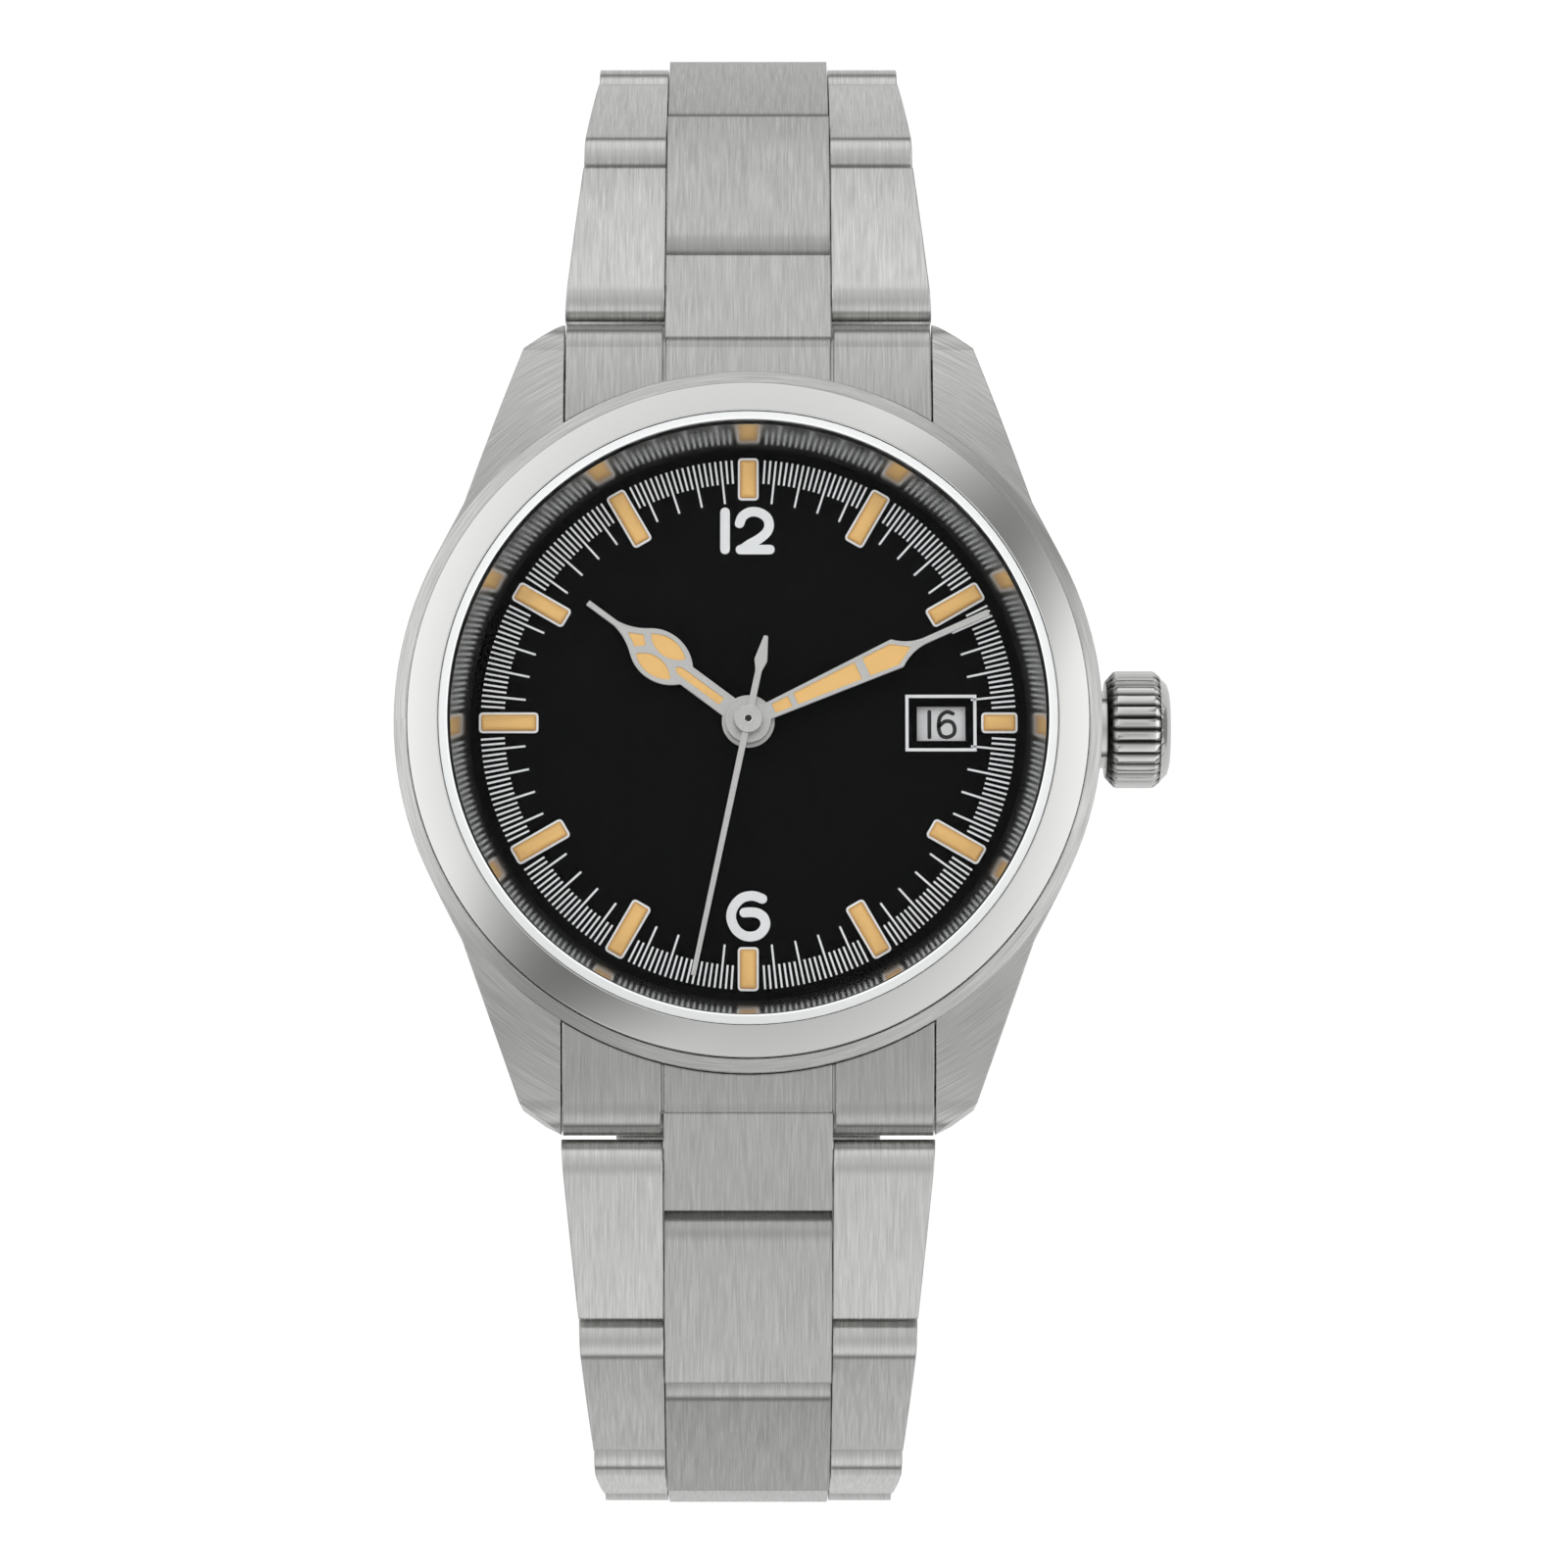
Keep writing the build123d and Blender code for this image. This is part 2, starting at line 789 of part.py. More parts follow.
def end_link():
    """Piece filling the space between the lugs at 12, with its tongue."""
    half = lug_gap / 2 - end_gap
    body = slab(end_piece_side(), -half, half)
    gap_half = centre_w / 2 + side_gap
    notch = Box(2 * gap_half, 2 * overrun, 2 * case_edge_z, align=(Align.CENTER, Align.MIN, Align.CENTER))
    body -= Pos(0, end_centre_y, case_edge_z) * notch
    body -= round_bar(case_r + fit, 0, 2 * case_edge_z)
    for side in (1, -1):
        groove = Box(end_groove_w, 2 * lug_tip_y, 2 * end_groove_depth)
        slope = degrees(asin((end_centre_y - lug_crest_y) / lug_crest_r)) / 2
        mid = crest_mid(case_r, end_centre_y)
        body -= Pos(side * gap_half, mid[0], mid[1]) * Rot(-slope * 3 / 2, 0, 0) * groove
    tongue = pivot_place(0) * slab(tongue_profile(), -centre_w / 2, centre_w / 2)
    body += tongue - round_bar(case_r + fit, 0, 2 * case_edge_z)
    body -= cross_bar(spring_bar_r + fit, -case_r, case_r, spring_bar_y, spring_bar_z)
    body -= cross_bar(row_pin_r + fit, -case_r, case_r, first_pivot_y, first_pivot_z)
    return body


def row_angle(k):
    return tongue_angle if k == 0 else first_row_angle + (k - 1) * row_bend


def pivot_at(k):
    """Pivot k's (y, z), counted from 1 at the case."""
    y, z = first_pivot_y, first_pivot_z
    for i in range(1, k):
        y += row_pitch * cos(radians(row_angle(i)))
        z -= row_pitch * sin(radians(row_angle(i)))
    return y, z


def pivot_place(k):
    """Frame of row k: origin on its pivot, +Y along the row, +Z outwards."""
    y, z = pivot_at(max(k, 1))
    return Pos(0, y, z) * Rot(-row_angle(k), 0, 0)


def near_edges(near):
    """A link's near end: rounded on the outside, cut off straight inside."""
    half = row_t / 2
    low = polar(half, 225)
    return [
        Polyline((near + half, -half), (near + half + low[0], low[1]), (near, 0)),
        CenterArc((near + half, 0), half, 180, -90),
    ]


def outer_profile(reach):
    """Side outline of an outer link: round near end, square far end."""
    half = row_t / 2
    near = -pivot_inset + row_gap
    return closed_face(
        near_edges(near),
        ThreePointArc((near + half, half), ((near + half + reach) / 2, half + row_crown), (reach, half)),
        Polyline((reach, half), (reach, far_bevel - half), (reach - far_bevel, -half), (near + half, -half)),
    )


def centre_profile(reach):
    """Side outline of a centre link. Its far end turns on the next pivot."""
    half = row_t / 2
    near = pivot_inset + row_gap
    swing = reach - row_pitch
    turn = degrees(asin(half / swing))
    return closed_face(
        near_edges(near),
        ThreePointArc((near + half, half), ((near + half + reach) / 2, half + row_crown),
                      (reach - row_gap / 2, half)),
        Polyline((reach - row_gap / 2, half), (reach, 0)),
        CenterArc((row_pitch, 0), swing, 0, -turn),
        Polyline((row_pitch + swing * cos(radians(turn)), -half), (near + half, -half)),
    )


def last_profile(half_length):
    """Side outline of the short centre piece beside the clasp's own hinge."""
    half = row_t / 2
    near = pivot_inset + row_gap
    return closed_face(
        near_edges(near),
        Polyline((near + half, half), (near + half + half_length, half),
                 (near + half + half_length, -half), (near + half, -half)),
    )


def taper_blank(s0, s1):
    """Plan outline of one row, narrowing away from the case."""
    reach = row_pitch + pivot_inset
    w0 = half_width(s0)
    w1 = half_width(s1)
    grow = (w1 - w0) / (s1 - s0)
    y0, y1 = -reach, reach
    x0 = w0 + grow * (y0 + pivot_inset)
    x1 = w0 + grow * (y1 + pivot_inset)
    return plan_slab(polygon((-x0, y0), (x0, y0), (x1, y1), (-x1, y1)), -row_t, row_t)


def fixed_pin(y, half):
    """A hidden square key that locks a row's three links together."""
    return Pos(0, y, 0) * Box(2 * half, 2 * row_pin_r, 2 * row_pin_r)


def fixed_pin_y(last=False):
    """The second pin of a row holds its centre link fast."""
    return pivot_inset + row_gap + row_t / 2 if last else row_pitch / 2


def outer_links(k, last=False):
    """Both outer links of row k, with the pivot pin and the fixed pin."""
    inner = centre_w / 2 + side_gap
    reach = row_pitch - pivot_inset - row_gap
    s0 = (k - 1) * row_pitch
    pair = slab(outer_profile(reach), inner, width_near) + slab(outer_profile(reach), -width_near, -inner)
    pair = pair & taper_blank(s0, s0 + row_pitch)
    pins = [cross_bar(row_pin_r, -inner, inner), fixed_pin(fixed_pin_y(last), inner)]
    if last:
        pins.append(cross_bar(clasp_pin_r, -inner, inner, buckle_y()))
    return pivot_place(k) * (pair + pins)


def buckle_y():
    """The clasp's own hinge in the last row, from that row's pivot."""
    return row_pitch - 2 * pivot_inset


def centre_link(k):
    reach = row_pitch + pivot_inset - row_gap / 2
    half = centre_w / 2
    body = slab(centre_profile(reach), -half, half)
    body -= fixed_pin(fixed_pin_y(), half)
    body -= cross_bar(row_pin_r + fit, -half, half, row_pitch)
    return pivot_place(k) * body


def last_centre(k):
    """The shortened centre piece, which leaves room for the clasp's blade."""
    half = centre_w / 2
    length = buckle_y() - buckle_barrel_r - 2 * fit - pivot_inset - row_gap - row_t / 2
    body = slab(last_profile(length), -half, half)
    return pivot_place(k) * (body - fixed_pin(fixed_pin_y(last=True), half))


def on_clasp(y, h):
    """Point of the bowed clasp at a place y, a height h inside its outer face."""
    side = 1 if y > 0 else -1
    r = clasp_bow_r - h
    out = abs(y) - clasp_flat
    if out <= 0:
        return (y, clasp_z() + h)
    return (side * (clasp_flat + out), clasp_z() + clasp_bow_r - sqrt(r * r - out * out))


def clasp_z():
    """Height of the clasp's flat outer face, set by its spring bar."""
    y, z = pivot_at(row_count + 1)
    r = clasp_bow_r - clasp_bar_h
    return z - clasp_bow_r + sqrt(r * r - (y - clasp_flat) ** 2)


def band(h0, h1, y0, y1):
    """A strip of the bowed clasp between two heights, from y0 to y1 (y0 < y1)."""
    edges = []
    for h, a, b in ((h0, y0, y1), (h1, y1, y0)):
        step = 1 if b > a else -1
        stops = [a] + [y for y in (-step * clasp_flat, step * clasp_flat)
                       if min(a, b) < y < max(a, b)] + [b]
        for p, q in zip(stops, stops[1:]):
            if abs(p + q) / 2 < clasp_flat:
                edges.append(Line(on_clasp(p, h), on_clasp(q, h)))
            else:
                edges.append(ThreePointArc(on_clasp(p, h), on_clasp((p + q) / 2, h), on_clasp(q, h)))
    edges.append(Line(on_clasp(y1, h0), on_clasp(y1, h1)))
    edges.append(Line(on_clasp(y0, h1), on_clasp(y0, h0)))
    return make_face(edges)


def bar_at(point, r, x0, x1):
    return cross_bar(r, x0, x1, point[0], point[1])


def clasp_reach():
    """Half the clasp's length, from its middle to its spring bar."""
    return pivot_at(row_count + 1)[0]


def clasp_bar_point():
    return (-clasp_reach(), pivot_at(row_count + 1)[1])


def hinge_point():
    return on_clasp(clasp_reach() - clasp_hinge_in, clasp_hinge_h)


def fold_point():
    return on_clasp(fold_in - clasp_reach(), fold_h)


def buckle_point():
    """Hinge between the last row at 12 and the clasp's inner blade."""
    y, z = pivot_at(row_count)
    angle = radians(row_angle(row_count))
    return (y + buckle_y() * cos(angle), z - buckle_y() * sin(angle))


def flap_point():
    return on_clasp(flap_hinge_y, flap_hinge_h)


def clasp_cover():
    """Outer shell of the clasp: two side walls, a plate and the hinge pin."""
    half = width_far / 2
    wall = half - clasp_wall_t
    s, h = clasp_bar_point(), hinge_point()
    side = slab(band(0, clasp_wall_h, s[0], h[0]), wall, half)
    side += bar_at(s, clasp_ear_r, centre_w / 2 + clasp_boss_gap, half)
    side += bar_at(h, clasp_ear_r, wall, half)
    body = side + mirror(side, about=Plane.YZ)
    body += slab(band(0, clasp_plate_t, flap_hinge_y + flap_barrel_r + flap_play,
                      clasp_reach() - plate_end_in), -wall, wall)
    for point, r in ((h, hinge_pin_r), (flap_point(), hinge_pin_r / 2)):
        body += bar_at(point, r, -wall, wall)
    return body - bar_at(s, spring_bar_tip_r, -half, half)


def safety_flap():
    """Flush plate that swings out of the cover."""
    wall = width_far / 2 - clasp_wall_t - side_gap
    body = slab(band(0, clasp_plate_t, flap_end_in - clasp_reach(), flap_hinge_y), -wall, wall)
    body += bar_at(flap_point(), flap_barrel_r, -wall, wall)
    return body - bar_at(flap_point(), hinge_pin_r / 2 + running_fit, -wall, wall)


def clasp_blade_outer():
    """Middle leaf: hinged to the cover at 12, to the inner leaf at 6."""
    half, knuckle = blade_w / 2, knuckle_w / 2
    h, k = hinge_point(), fold_point()
    top = outer_blade_h + blade_t
    body = slab(band(outer_blade_h, top, k[0] + barrel_r + 2 * fit, h[0]), -half, half)
    body += slab(band(outer_blade_h, top, k[0], k[0] + 2 * barrel_r), -knuckle, knuckle)
    body += bar_at(h, barrel_r, -half, half)
    body += bar_at(k, barrel_r, -knuckle, knuckle)
    body -= bar_at(h, hinge_pin_r + running_fit, -half, half)
    return body - bar_at(k, hinge_pin_r + running_fit, -knuckle, knuckle)


def clasp_blade_inner():
    """Inner leaf, from the fold to the last row at 12."""
    half, knuckle = blade_w / 2, knuckle_w / 2 + side_gap
    k, j = fold_point(), buckle_point()
    top = inner_blade_h + blade_t
    body = slab(band(inner_blade_h, top, k[0] + barrel_r + 2 * fit, j[0]), -half, half)
    ears = slab(band(inner_blade_h, top, k[0], k[0] + 2 * barrel_r), knuckle, half)
    ears += bar_at(k, barrel_r, knuckle, half)
    body += ears + mirror(ears, about=Plane.YZ)
    body += bar_at(k, hinge_pin_r, -half, half)
    body += bar_at(j, buckle_barrel_r, -half, half)
    return body - bar_at(j, clasp_pin_r + running_fit, -half, half)


def with_clasp_bar(row):
    """Adds the clasp's spring bar, its tips pressed in, to the last row at 6."""
    bar = bar_at(clasp_bar_point(), row_pin_r, -centre_w / 2, centre_w / 2)
    return Compound(children=[row, bar])


def at_six(shape):
    return mirror(shape, about=Plane.XZ)


pieces = {
    "mid_case": mid_case(),
    "bezel": bezel(),
    "crystal": crystal(),
    "rehaut": rehaut(),
    "case_back": case_back(),
    "crown_tube": crown_tube(),
    "main_plate": main_plate(),
    "movement_bridge": movement_bridge(),
    "rotor": rotor(),
    "balance_wheel": balance_wheel(),
    "date_disc": date_disc(),
    "dial": dial(),
    "hour_markers": hour_markers(),
    "marker_lume": marker_lume(),
    "hour_wheel": hour_wheel(),
    "hour_hand": hour_hand(),
    "hour_hand_lume": hour_hand_lume(),
    "cannon_pinion": cannon_pinion(),
    "minute_hand": minute_hand(),
    "minute_hand_lume": minute_hand_lume(),
    "seconds_arbor": seconds_arbor(),
    "seconds_hand": seconds_hand(),
    "crown": crown(),
    "winding_stem": winding_stem(),
    "setting_lever": setting_lever(),
    "lug_spring_bars": spring_bars(),
    "end_link_12": end_link(),
    "end_link_6": at_six(end_link()),
    "clasp_cover": clasp_cover(),
    "safety_flap": safety_flap(),
    "clasp_blade_outer": clasp_blade_outer(),
    "clasp_blade_inner": clasp_blade_inner(),
}

for k in range(1, row_count + 1):
    is_last = k == row_count
    pieces[f"row_12_{k}_outer"] = outer_links(k, is_last)
    pieces[f"row_12_{k}_centre"] = last_centre(k) if is_last else centre_link(k)
    row_at_six = at_six(outer_links(k))
    pieces[f"row_6_{k}_outer"] = with_clasp_bar(row_at_six) if is_last else row_at_six
    pieces[f"row_6_{k}_centre"] = at_six(centre_link(k))

for node, shape in pieces.items():
    export_step(shape, f"parts/{node}.step")

for name, point in (("clasp bar", clasp_bar_point()), ("clasp hinge", hinge_point()),
                    ("fold", fold_point()), ("buckle", buckle_point()), ("flap", flap_point()),
                    ("balance", balance_point())):
    print(name, [round(v, 3) for v in point])
for k in range(1, row_count + 2):
    print("pivot", k, [round(v, 3) for v in pivot_at(k)], "angle", row_angle(k))
print("clasp outer face z", round(clasp_z(), 3))
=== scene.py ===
import math
import bpy
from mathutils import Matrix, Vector


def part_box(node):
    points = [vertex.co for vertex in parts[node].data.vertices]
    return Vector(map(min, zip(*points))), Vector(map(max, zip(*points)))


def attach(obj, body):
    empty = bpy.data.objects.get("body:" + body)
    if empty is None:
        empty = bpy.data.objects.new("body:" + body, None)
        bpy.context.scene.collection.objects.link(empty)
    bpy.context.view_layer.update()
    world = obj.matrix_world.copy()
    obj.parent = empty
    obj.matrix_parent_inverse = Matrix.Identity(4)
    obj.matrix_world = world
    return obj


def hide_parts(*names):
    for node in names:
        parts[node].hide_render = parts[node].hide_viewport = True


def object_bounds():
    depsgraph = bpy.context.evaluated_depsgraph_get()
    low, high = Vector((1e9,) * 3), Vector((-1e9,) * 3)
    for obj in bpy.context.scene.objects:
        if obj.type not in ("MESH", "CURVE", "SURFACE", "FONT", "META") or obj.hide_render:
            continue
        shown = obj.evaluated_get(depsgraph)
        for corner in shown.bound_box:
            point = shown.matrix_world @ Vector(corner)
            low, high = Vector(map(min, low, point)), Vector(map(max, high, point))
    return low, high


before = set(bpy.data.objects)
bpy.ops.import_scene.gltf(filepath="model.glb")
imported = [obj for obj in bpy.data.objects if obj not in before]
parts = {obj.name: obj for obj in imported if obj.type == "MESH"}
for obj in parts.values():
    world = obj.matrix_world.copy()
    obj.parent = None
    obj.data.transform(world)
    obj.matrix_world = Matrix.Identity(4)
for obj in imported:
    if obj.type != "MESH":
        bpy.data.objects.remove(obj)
cad_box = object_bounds()
MM = 0.001

# Middle case with its four lugs. Stainless bar, milled, then brushed round and
# round on a lathe belt. The fine circles pull each highlight out sideways.
BRUSHED_STEEL = "#D2D2D0"
BELT_LINE_MM = 0.06        # drawn coarser than a belt's real 0.03 so that it shows
LINES_A_RADIAN = 5         # one line runs about a fifth of a radian
GRAIN_SPAN = {"From Min": 0.3, "From Max": 0.7}    # where most of a noise lies


def linear(hex_colour):
    """An sRGB hex colour as linear values with full alpha."""
    values = [int(hex_colour[i:i + 2], 16) / 255 for i in (1, 3, 5)]
    return [v / 12.92 if v <= 0.04045 else ((v + 0.055) / 1.055) ** 2.4 for v in values] + [1]


def add(tree, kind, inputs=None, **settings):
    """Adds a node with its options, its values and the sockets that feed it."""
    node = tree.nodes.new(kind)
    for name, value in settings.items():
        setattr(node, name, value)
    for name, value in (inputs or {}).items():
        if isinstance(value, bpy.types.NodeSocket):
            tree.links.new(value, node.inputs[name])
        else:
            node.inputs[name].default_value = value
    return node


def blank_material(name):
    """A material with an empty node tree."""
    material = bpy.data.materials.new(name)
    material.use_nodes = True
    material.node_tree.nodes.clear()
    return material, material.node_tree


def seal(tree, shader):
    """Makes a shader the material's surface."""
    add(tree, "ShaderNodeOutputMaterial", {"Surface": shader.outputs[0]})


def facing(tree, axis):
    """1 on faces that look within 60 degrees of an axis of the watch, else 0."""
    normal = add(tree, "ShaderNodeNewGeometry").outputs["True Normal"]
    way = add(tree, "ShaderNodeVectorTransform", {"Vector": normal}, vector_type="NORMAL",
              convert_from="WORLD", convert_to="OBJECT").outputs[0]
    way = add(tree, "ShaderNodeSeparateXYZ", {"Vector": way}).outputs[axis]
    way = add(tree, "ShaderNodeMath", {0: way}, operation="ABSOLUTE").outputs[0]
    return add(tree, "ShaderNodeMath", {0: way, 1: 0.5}, operation="GREATER_THAN").outputs[0]


def circle_lines(tree, line_mm):
    """Circles round the dial's axis, as a lathe leaves them, and the way across."""
    place = add(tree, "ShaderNodeTexCoord").outputs["Object"]
    axes = add(tree, "ShaderNodeSeparateXYZ", {"Vector": place}).outputs
    flat = add(tree, "ShaderNodeCombineXYZ", {"X": axes["X"], "Y": axes["Y"]}).outputs[0]
    radius = add(tree, "ShaderNodeVectorMath", {0: flat}, operation="LENGTH").outputs["Value"]
    angle = add(tree, "ShaderNodeMath", {0: axes["Y"], 1: axes["X"]}, operation="ARCTAN2").outputs[0]
    step = add(tree, "ShaderNodeMix", {"Factor": facing(tree, "Z"), "A": axes["Z"], "B": radius},
               data_type="FLOAT").outputs[0]
    step = add(tree, "ShaderNodeMath", {0: step, 1: 1 / (line_mm * MM)}, operation="MULTIPLY").outputs[0]
    run = add(tree, "ShaderNodeMath", {0: angle, 1: LINES_A_RADIAN}, operation="MULTIPLY").outputs[0]
    lines = add(tree, "ShaderNodeCombineXYZ", {"X": step, "Y": run}).outputs[0]
    return lines, add(tree, "ShaderNodeVectorMath", {0: flat}, operation="NORMALIZE").outputs[0]


def worked_steel(name, colour, lines, line_mm, roughness=0.30, edge_mm=0.10, depth=0.20, contrast=0.30,
                 spread=0.6):
    """Stainless steel whose tool lines spread each highlight out across them."""
    material, tree = blank_material(name)
    pattern, across = lines(tree, line_mm)
    grain = add(tree, "ShaderNodeTexNoise", {"Vector": pattern, "Scale": 1, "Detail": 3,
                                             "Roughness": 0.65}).outputs["Fac"]
    tone = add(tree, "ShaderNodeMapRange", {"Value": grain, **GRAIN_SPAN, "To Min": 1 - contrast,
                                            "To Max": 1 + contrast / 3}).outputs[0]
    base = add(tree, "ShaderNodeVectorMath", {0: linear(colour)[:3], "Scale": tone}, operation="SCALE")
    gloss = add(tree, "ShaderNodeMapRange", {"Value": grain, **GRAIN_SPAN, "To Min": roughness * 1.15,
                                             "To Max": roughness * 0.85})
    edge = add(tree, "ShaderNodeBevel", {"Radius": edge_mm * MM}, samples=4)
    cut = add(tree, "ShaderNodeBump", {"Height": grain, "Normal": edge.outputs[0], "Strength": depth,
                                       "Distance": line_mm * MM * 0.15})
    way = add(tree, "ShaderNodeVectorTransform", {"Vector": across}, vector_type="VECTOR",
              convert_from="OBJECT", convert_to="WORLD")
    seal(tree, add(tree, "ShaderNodeBsdfPrincipled", {
        "Base Color": base.outputs[0], "Metallic": 1, "Roughness": gloss.outputs[0],
        "Normal": cut.outputs[0], "Anisotropic": spread, "Tangent": way.outputs[0]}))
    return material


def dress(material, *names):
    """Gives CAD nodes their finish."""
    for name in names:
        data = parts[name].data
        data.materials.clear()
        data.materials.append(material)


case_steel = worked_steel("steel_brushed_in_circles", BRUSHED_STEEL, circle_lines, BELT_LINE_MM)
dress(case_steel, "mid_case")

# Screwed case back. A turned stainless disc with six slots for the case key,
# finished in circles on the lathe, a little smoother than the case.
back_steel = worked_steel("steel_turned_back", BRUSHED_STEEL, circle_lines, BELT_LINE_MM, roughness=0.22)
dress(back_steel, "case_back")

# Bezel. A plain steel ring, turned, then polished on a felt wheel and pressed
# over the case. It mirrors its surroundings with hardly any grain.
POLISHED_STEEL = "#DCDCDA"
FELT_CLOUD_MM = 2.5
BEZEL_STEPS = 256
BEZEL_SHOULDER_MM, BEZEL_SHOULDER_DEG = 0.10, 70   # its rounded outer edge
BEZEL_RISE_MM = 0.50       # of the sloped face, from that edge to the top
BEZEL_BREAK_MM = 0.05      # the broken edge beside the crystal
BEZEL_PLAY_MM = 0.04       # round the crystal
BEZEL_JOINT_MM = 0.08      # undercut that leaves a dark line on the case
bezel_low, bezel_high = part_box("bezel")
crystal_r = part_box("crystal")[1].x / MM


def polished_steel(name, roughness=0.07, edge_mm=0.06):
    """Mirror steel whose polish clouds a little, as a felt wheel leaves it."""
    material, tree = blank_material(name)
    place = add(tree, "ShaderNodeTexCoord").outputs["Object"]
    cloud = add(tree, "ShaderNodeTexNoise", {"Vector": place, "Scale": 1 / (FELT_CLOUD_MM * MM),
                                             "Detail": 4}).outputs["Fac"]
    gloss = add(tree, "ShaderNodeMapRange", {"Value": cloud, "To Min": roughness * 0.7,
                                             "To Max": roughness * 1.4})
    edge = add(tree, "ShaderNodeBevel", {"Radius": edge_mm * MM}, samples=4)
    seal(tree, add(tree, "ShaderNodeBsdfPrincipled", {
        "Base Color": linear(POLISHED_STEEL), "Metallic": 1, "Roughness": gloss.outputs[0],
        "Normal": edge.outputs[0]}))
    return material


def shaped(name, points, faces, material, body, sharp_deg=35):
    """A smooth-shaded mesh piece from points in millimetres, riding on a body."""
    mesh = bpy.data.meshes.new(name)
    mesh.from_pydata([[v * MM for v in p] for p in points], [], faces)
    mesh.validate()
    for face in mesh.polygons:
        face.use_smooth = True
    mesh.set_sharp_from_angle(angle=math.radians(sharp_deg))
    mesh.materials.append(material)
    piece = bpy.data.objects.new(name, mesh)
    bpy.context.scene.collection.objects.link(piece)
    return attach(piece, body)


def turned_ring(name, profile, steps, material, body):
    """A closed profile of (radius, height) turned about the dial's axis."""
    n = len(profile)
    points, faces = [], []
    for i in range(steps):
        a = 2 * math.pi * i / steps
        points += [(r * math.cos(a), r * math.sin(a), z) for r, z in profile]
        j = (i + 1) % steps
        faces += [(i * n + k, j * n + k, j * n + (k + 1) % n, i * n + (k + 1) % n) for k in range(n)]
    return shaped(name, points, faces, material, body)


def arc(centre, radius, start_deg, end_deg, steps=5):
    """Points of an arc, counted in degrees from the first axis."""
    turns = [math.radians(start_deg + (end_deg - start_deg) * i / steps) for i in range(steps + 1)]
    return [(centre[0] + radius * math.cos(t), centre[1] + radius * math.sin(t)) for t in turns]


bezel_r = bezel_high.x / MM
bezel_z0, bezel_z1 = bezel_low.z / MM, bezel_high.z / MM
bezel_bore = crystal_r + BEZEL_PLAY_MM
shoulder = (bezel_r - BEZEL_SHOULDER_MM, bezel_z1 - BEZEL_RISE_MM - BEZEL_SHOULDER_MM)
profile = [(bezel_bore, bezel_z0), (bezel_r - BEZEL_JOINT_MM, bezel_z0),
           (bezel_r - BEZEL_JOINT_MM, bezel_z0 + BEZEL_JOINT_MM), (bezel_r, bezel_z0 + BEZEL_JOINT_MM)]
profile += arc(shoulder, BEZEL_SHOULDER_MM, 0, BEZEL_SHOULDER_DEG)
profile += [(bezel_bore + BEZEL_BREAK_MM, bezel_z1), (bezel_bore, bezel_z1 - BEZEL_BREAK_MM)]
bezel_steel = polished_steel("steel_polished")
bezel_ring = turned_ring("bezel_ring", profile, BEZEL_STEPS, bezel_steel, "case")
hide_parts("bezel")

# Crystal. Sapphire, sawn, lapped flat and coated against reflections, so the
# dial stays deep black under it. The bright white shine at its edge is painted
# on as a matt white band on its bevel and the rim of its upper face.
CRYSTAL_TINT = "#FEFEFE"
SAPPHIRE_IOR = 1.77
COATING_SHARE = 0.04       # of the bare glass's reflection that the coating leaves
SMEARS_A_METRE = 90        # wiping marks, about 11 mm apart
# painted highlight: a matt white that stands for the shine at the crystal's edge
RIM_SHINE_WHITE = "#F2F4F4"
RIM_SHINE_IN_MM = 16.05       # the painted white shine starts at this radius


def coated_sapphire(name):
    """Clear coated glass with a painted highlight: matt white on its bevel and the rim of its upper face."""
    material, tree = blank_material(name)
    place = add(tree, "ShaderNodeTexCoord").outputs["Object"]
    smear = add(tree, "ShaderNodeTexNoise", {"Vector": place, "Scale": SMEARS_A_METRE,
                                             "Detail": 2}).outputs["Fac"]
    gloss = add(tree, "ShaderNodeMapRange", {"Value": smear, "To Min": 0.0, "To Max": 0.03})
    through = add(tree, "ShaderNodeBsdfRefraction", {"Color": linear(CRYSTAL_TINT), "Roughness": 0,
                                                     "IOR": SAPPHIRE_IOR})
    mirror = add(tree, "ShaderNodeBsdfAnisotropic", {"Roughness": gloss.outputs[0]})
    bare = add(tree, "ShaderNodeFresnel", {"IOR": SAPPHIRE_IOR}).outputs[0]
    left = add(tree, "ShaderNodeMath", {0: bare, 1: COATING_SHARE}, operation="MULTIPLY")
    face = add(tree, "ShaderNodeMixShader", {"Fac": left.outputs[0], 1: through.outputs[0],
                                             2: mirror.outputs[0]})
    flat_place = add(tree, "ShaderNodeVectorMath", {0: place, 1: (1, 1, 0)}, operation="MULTIPLY").outputs[0]
    radius = add(tree, "ShaderNodeVectorMath", {0: flat_place}, operation="LENGTH").outputs["Value"]
    rim = add(tree, "ShaderNodeMath", {0: radius, 1: RIM_SHINE_IN_MM * MM}, operation="GREATER_THAN").outputs[0]
    # Painted highlight: a matt white band stands in for the shine at the crystal's edge.
    painted_shine = add(tree, "ShaderNodeMath", {0: facing(tree, "Z"), 1: rim}, operation="MULTIPLY").outputs[0]
    matt = add(tree, "ShaderNodeBsdfPrincipled", {"Base Color": linear(RIM_SHINE_WHITE), "Roughness": 0.35})
    body = add(tree, "ShaderNodeMixShader", {"Fac": painted_shine, 1: face.outputs[0], 2: matt.outputs[0]})
    clear = add(tree, "ShaderNodeBsdfTransparent", {"Color": linear(CRYSTAL_TINT)})
    shadow = add(tree, "ShaderNodeLightPath").outputs["Is Shadow Ray"]
    seal(tree, add(tree, "ShaderNodeMixShader", {"Fac": shadow, 1: body.outputs[0], 2: clear.outputs[0]}))
    return material


dress(coated_sapphire("sapphire_coated_painted_rim_shine"), "crystal")

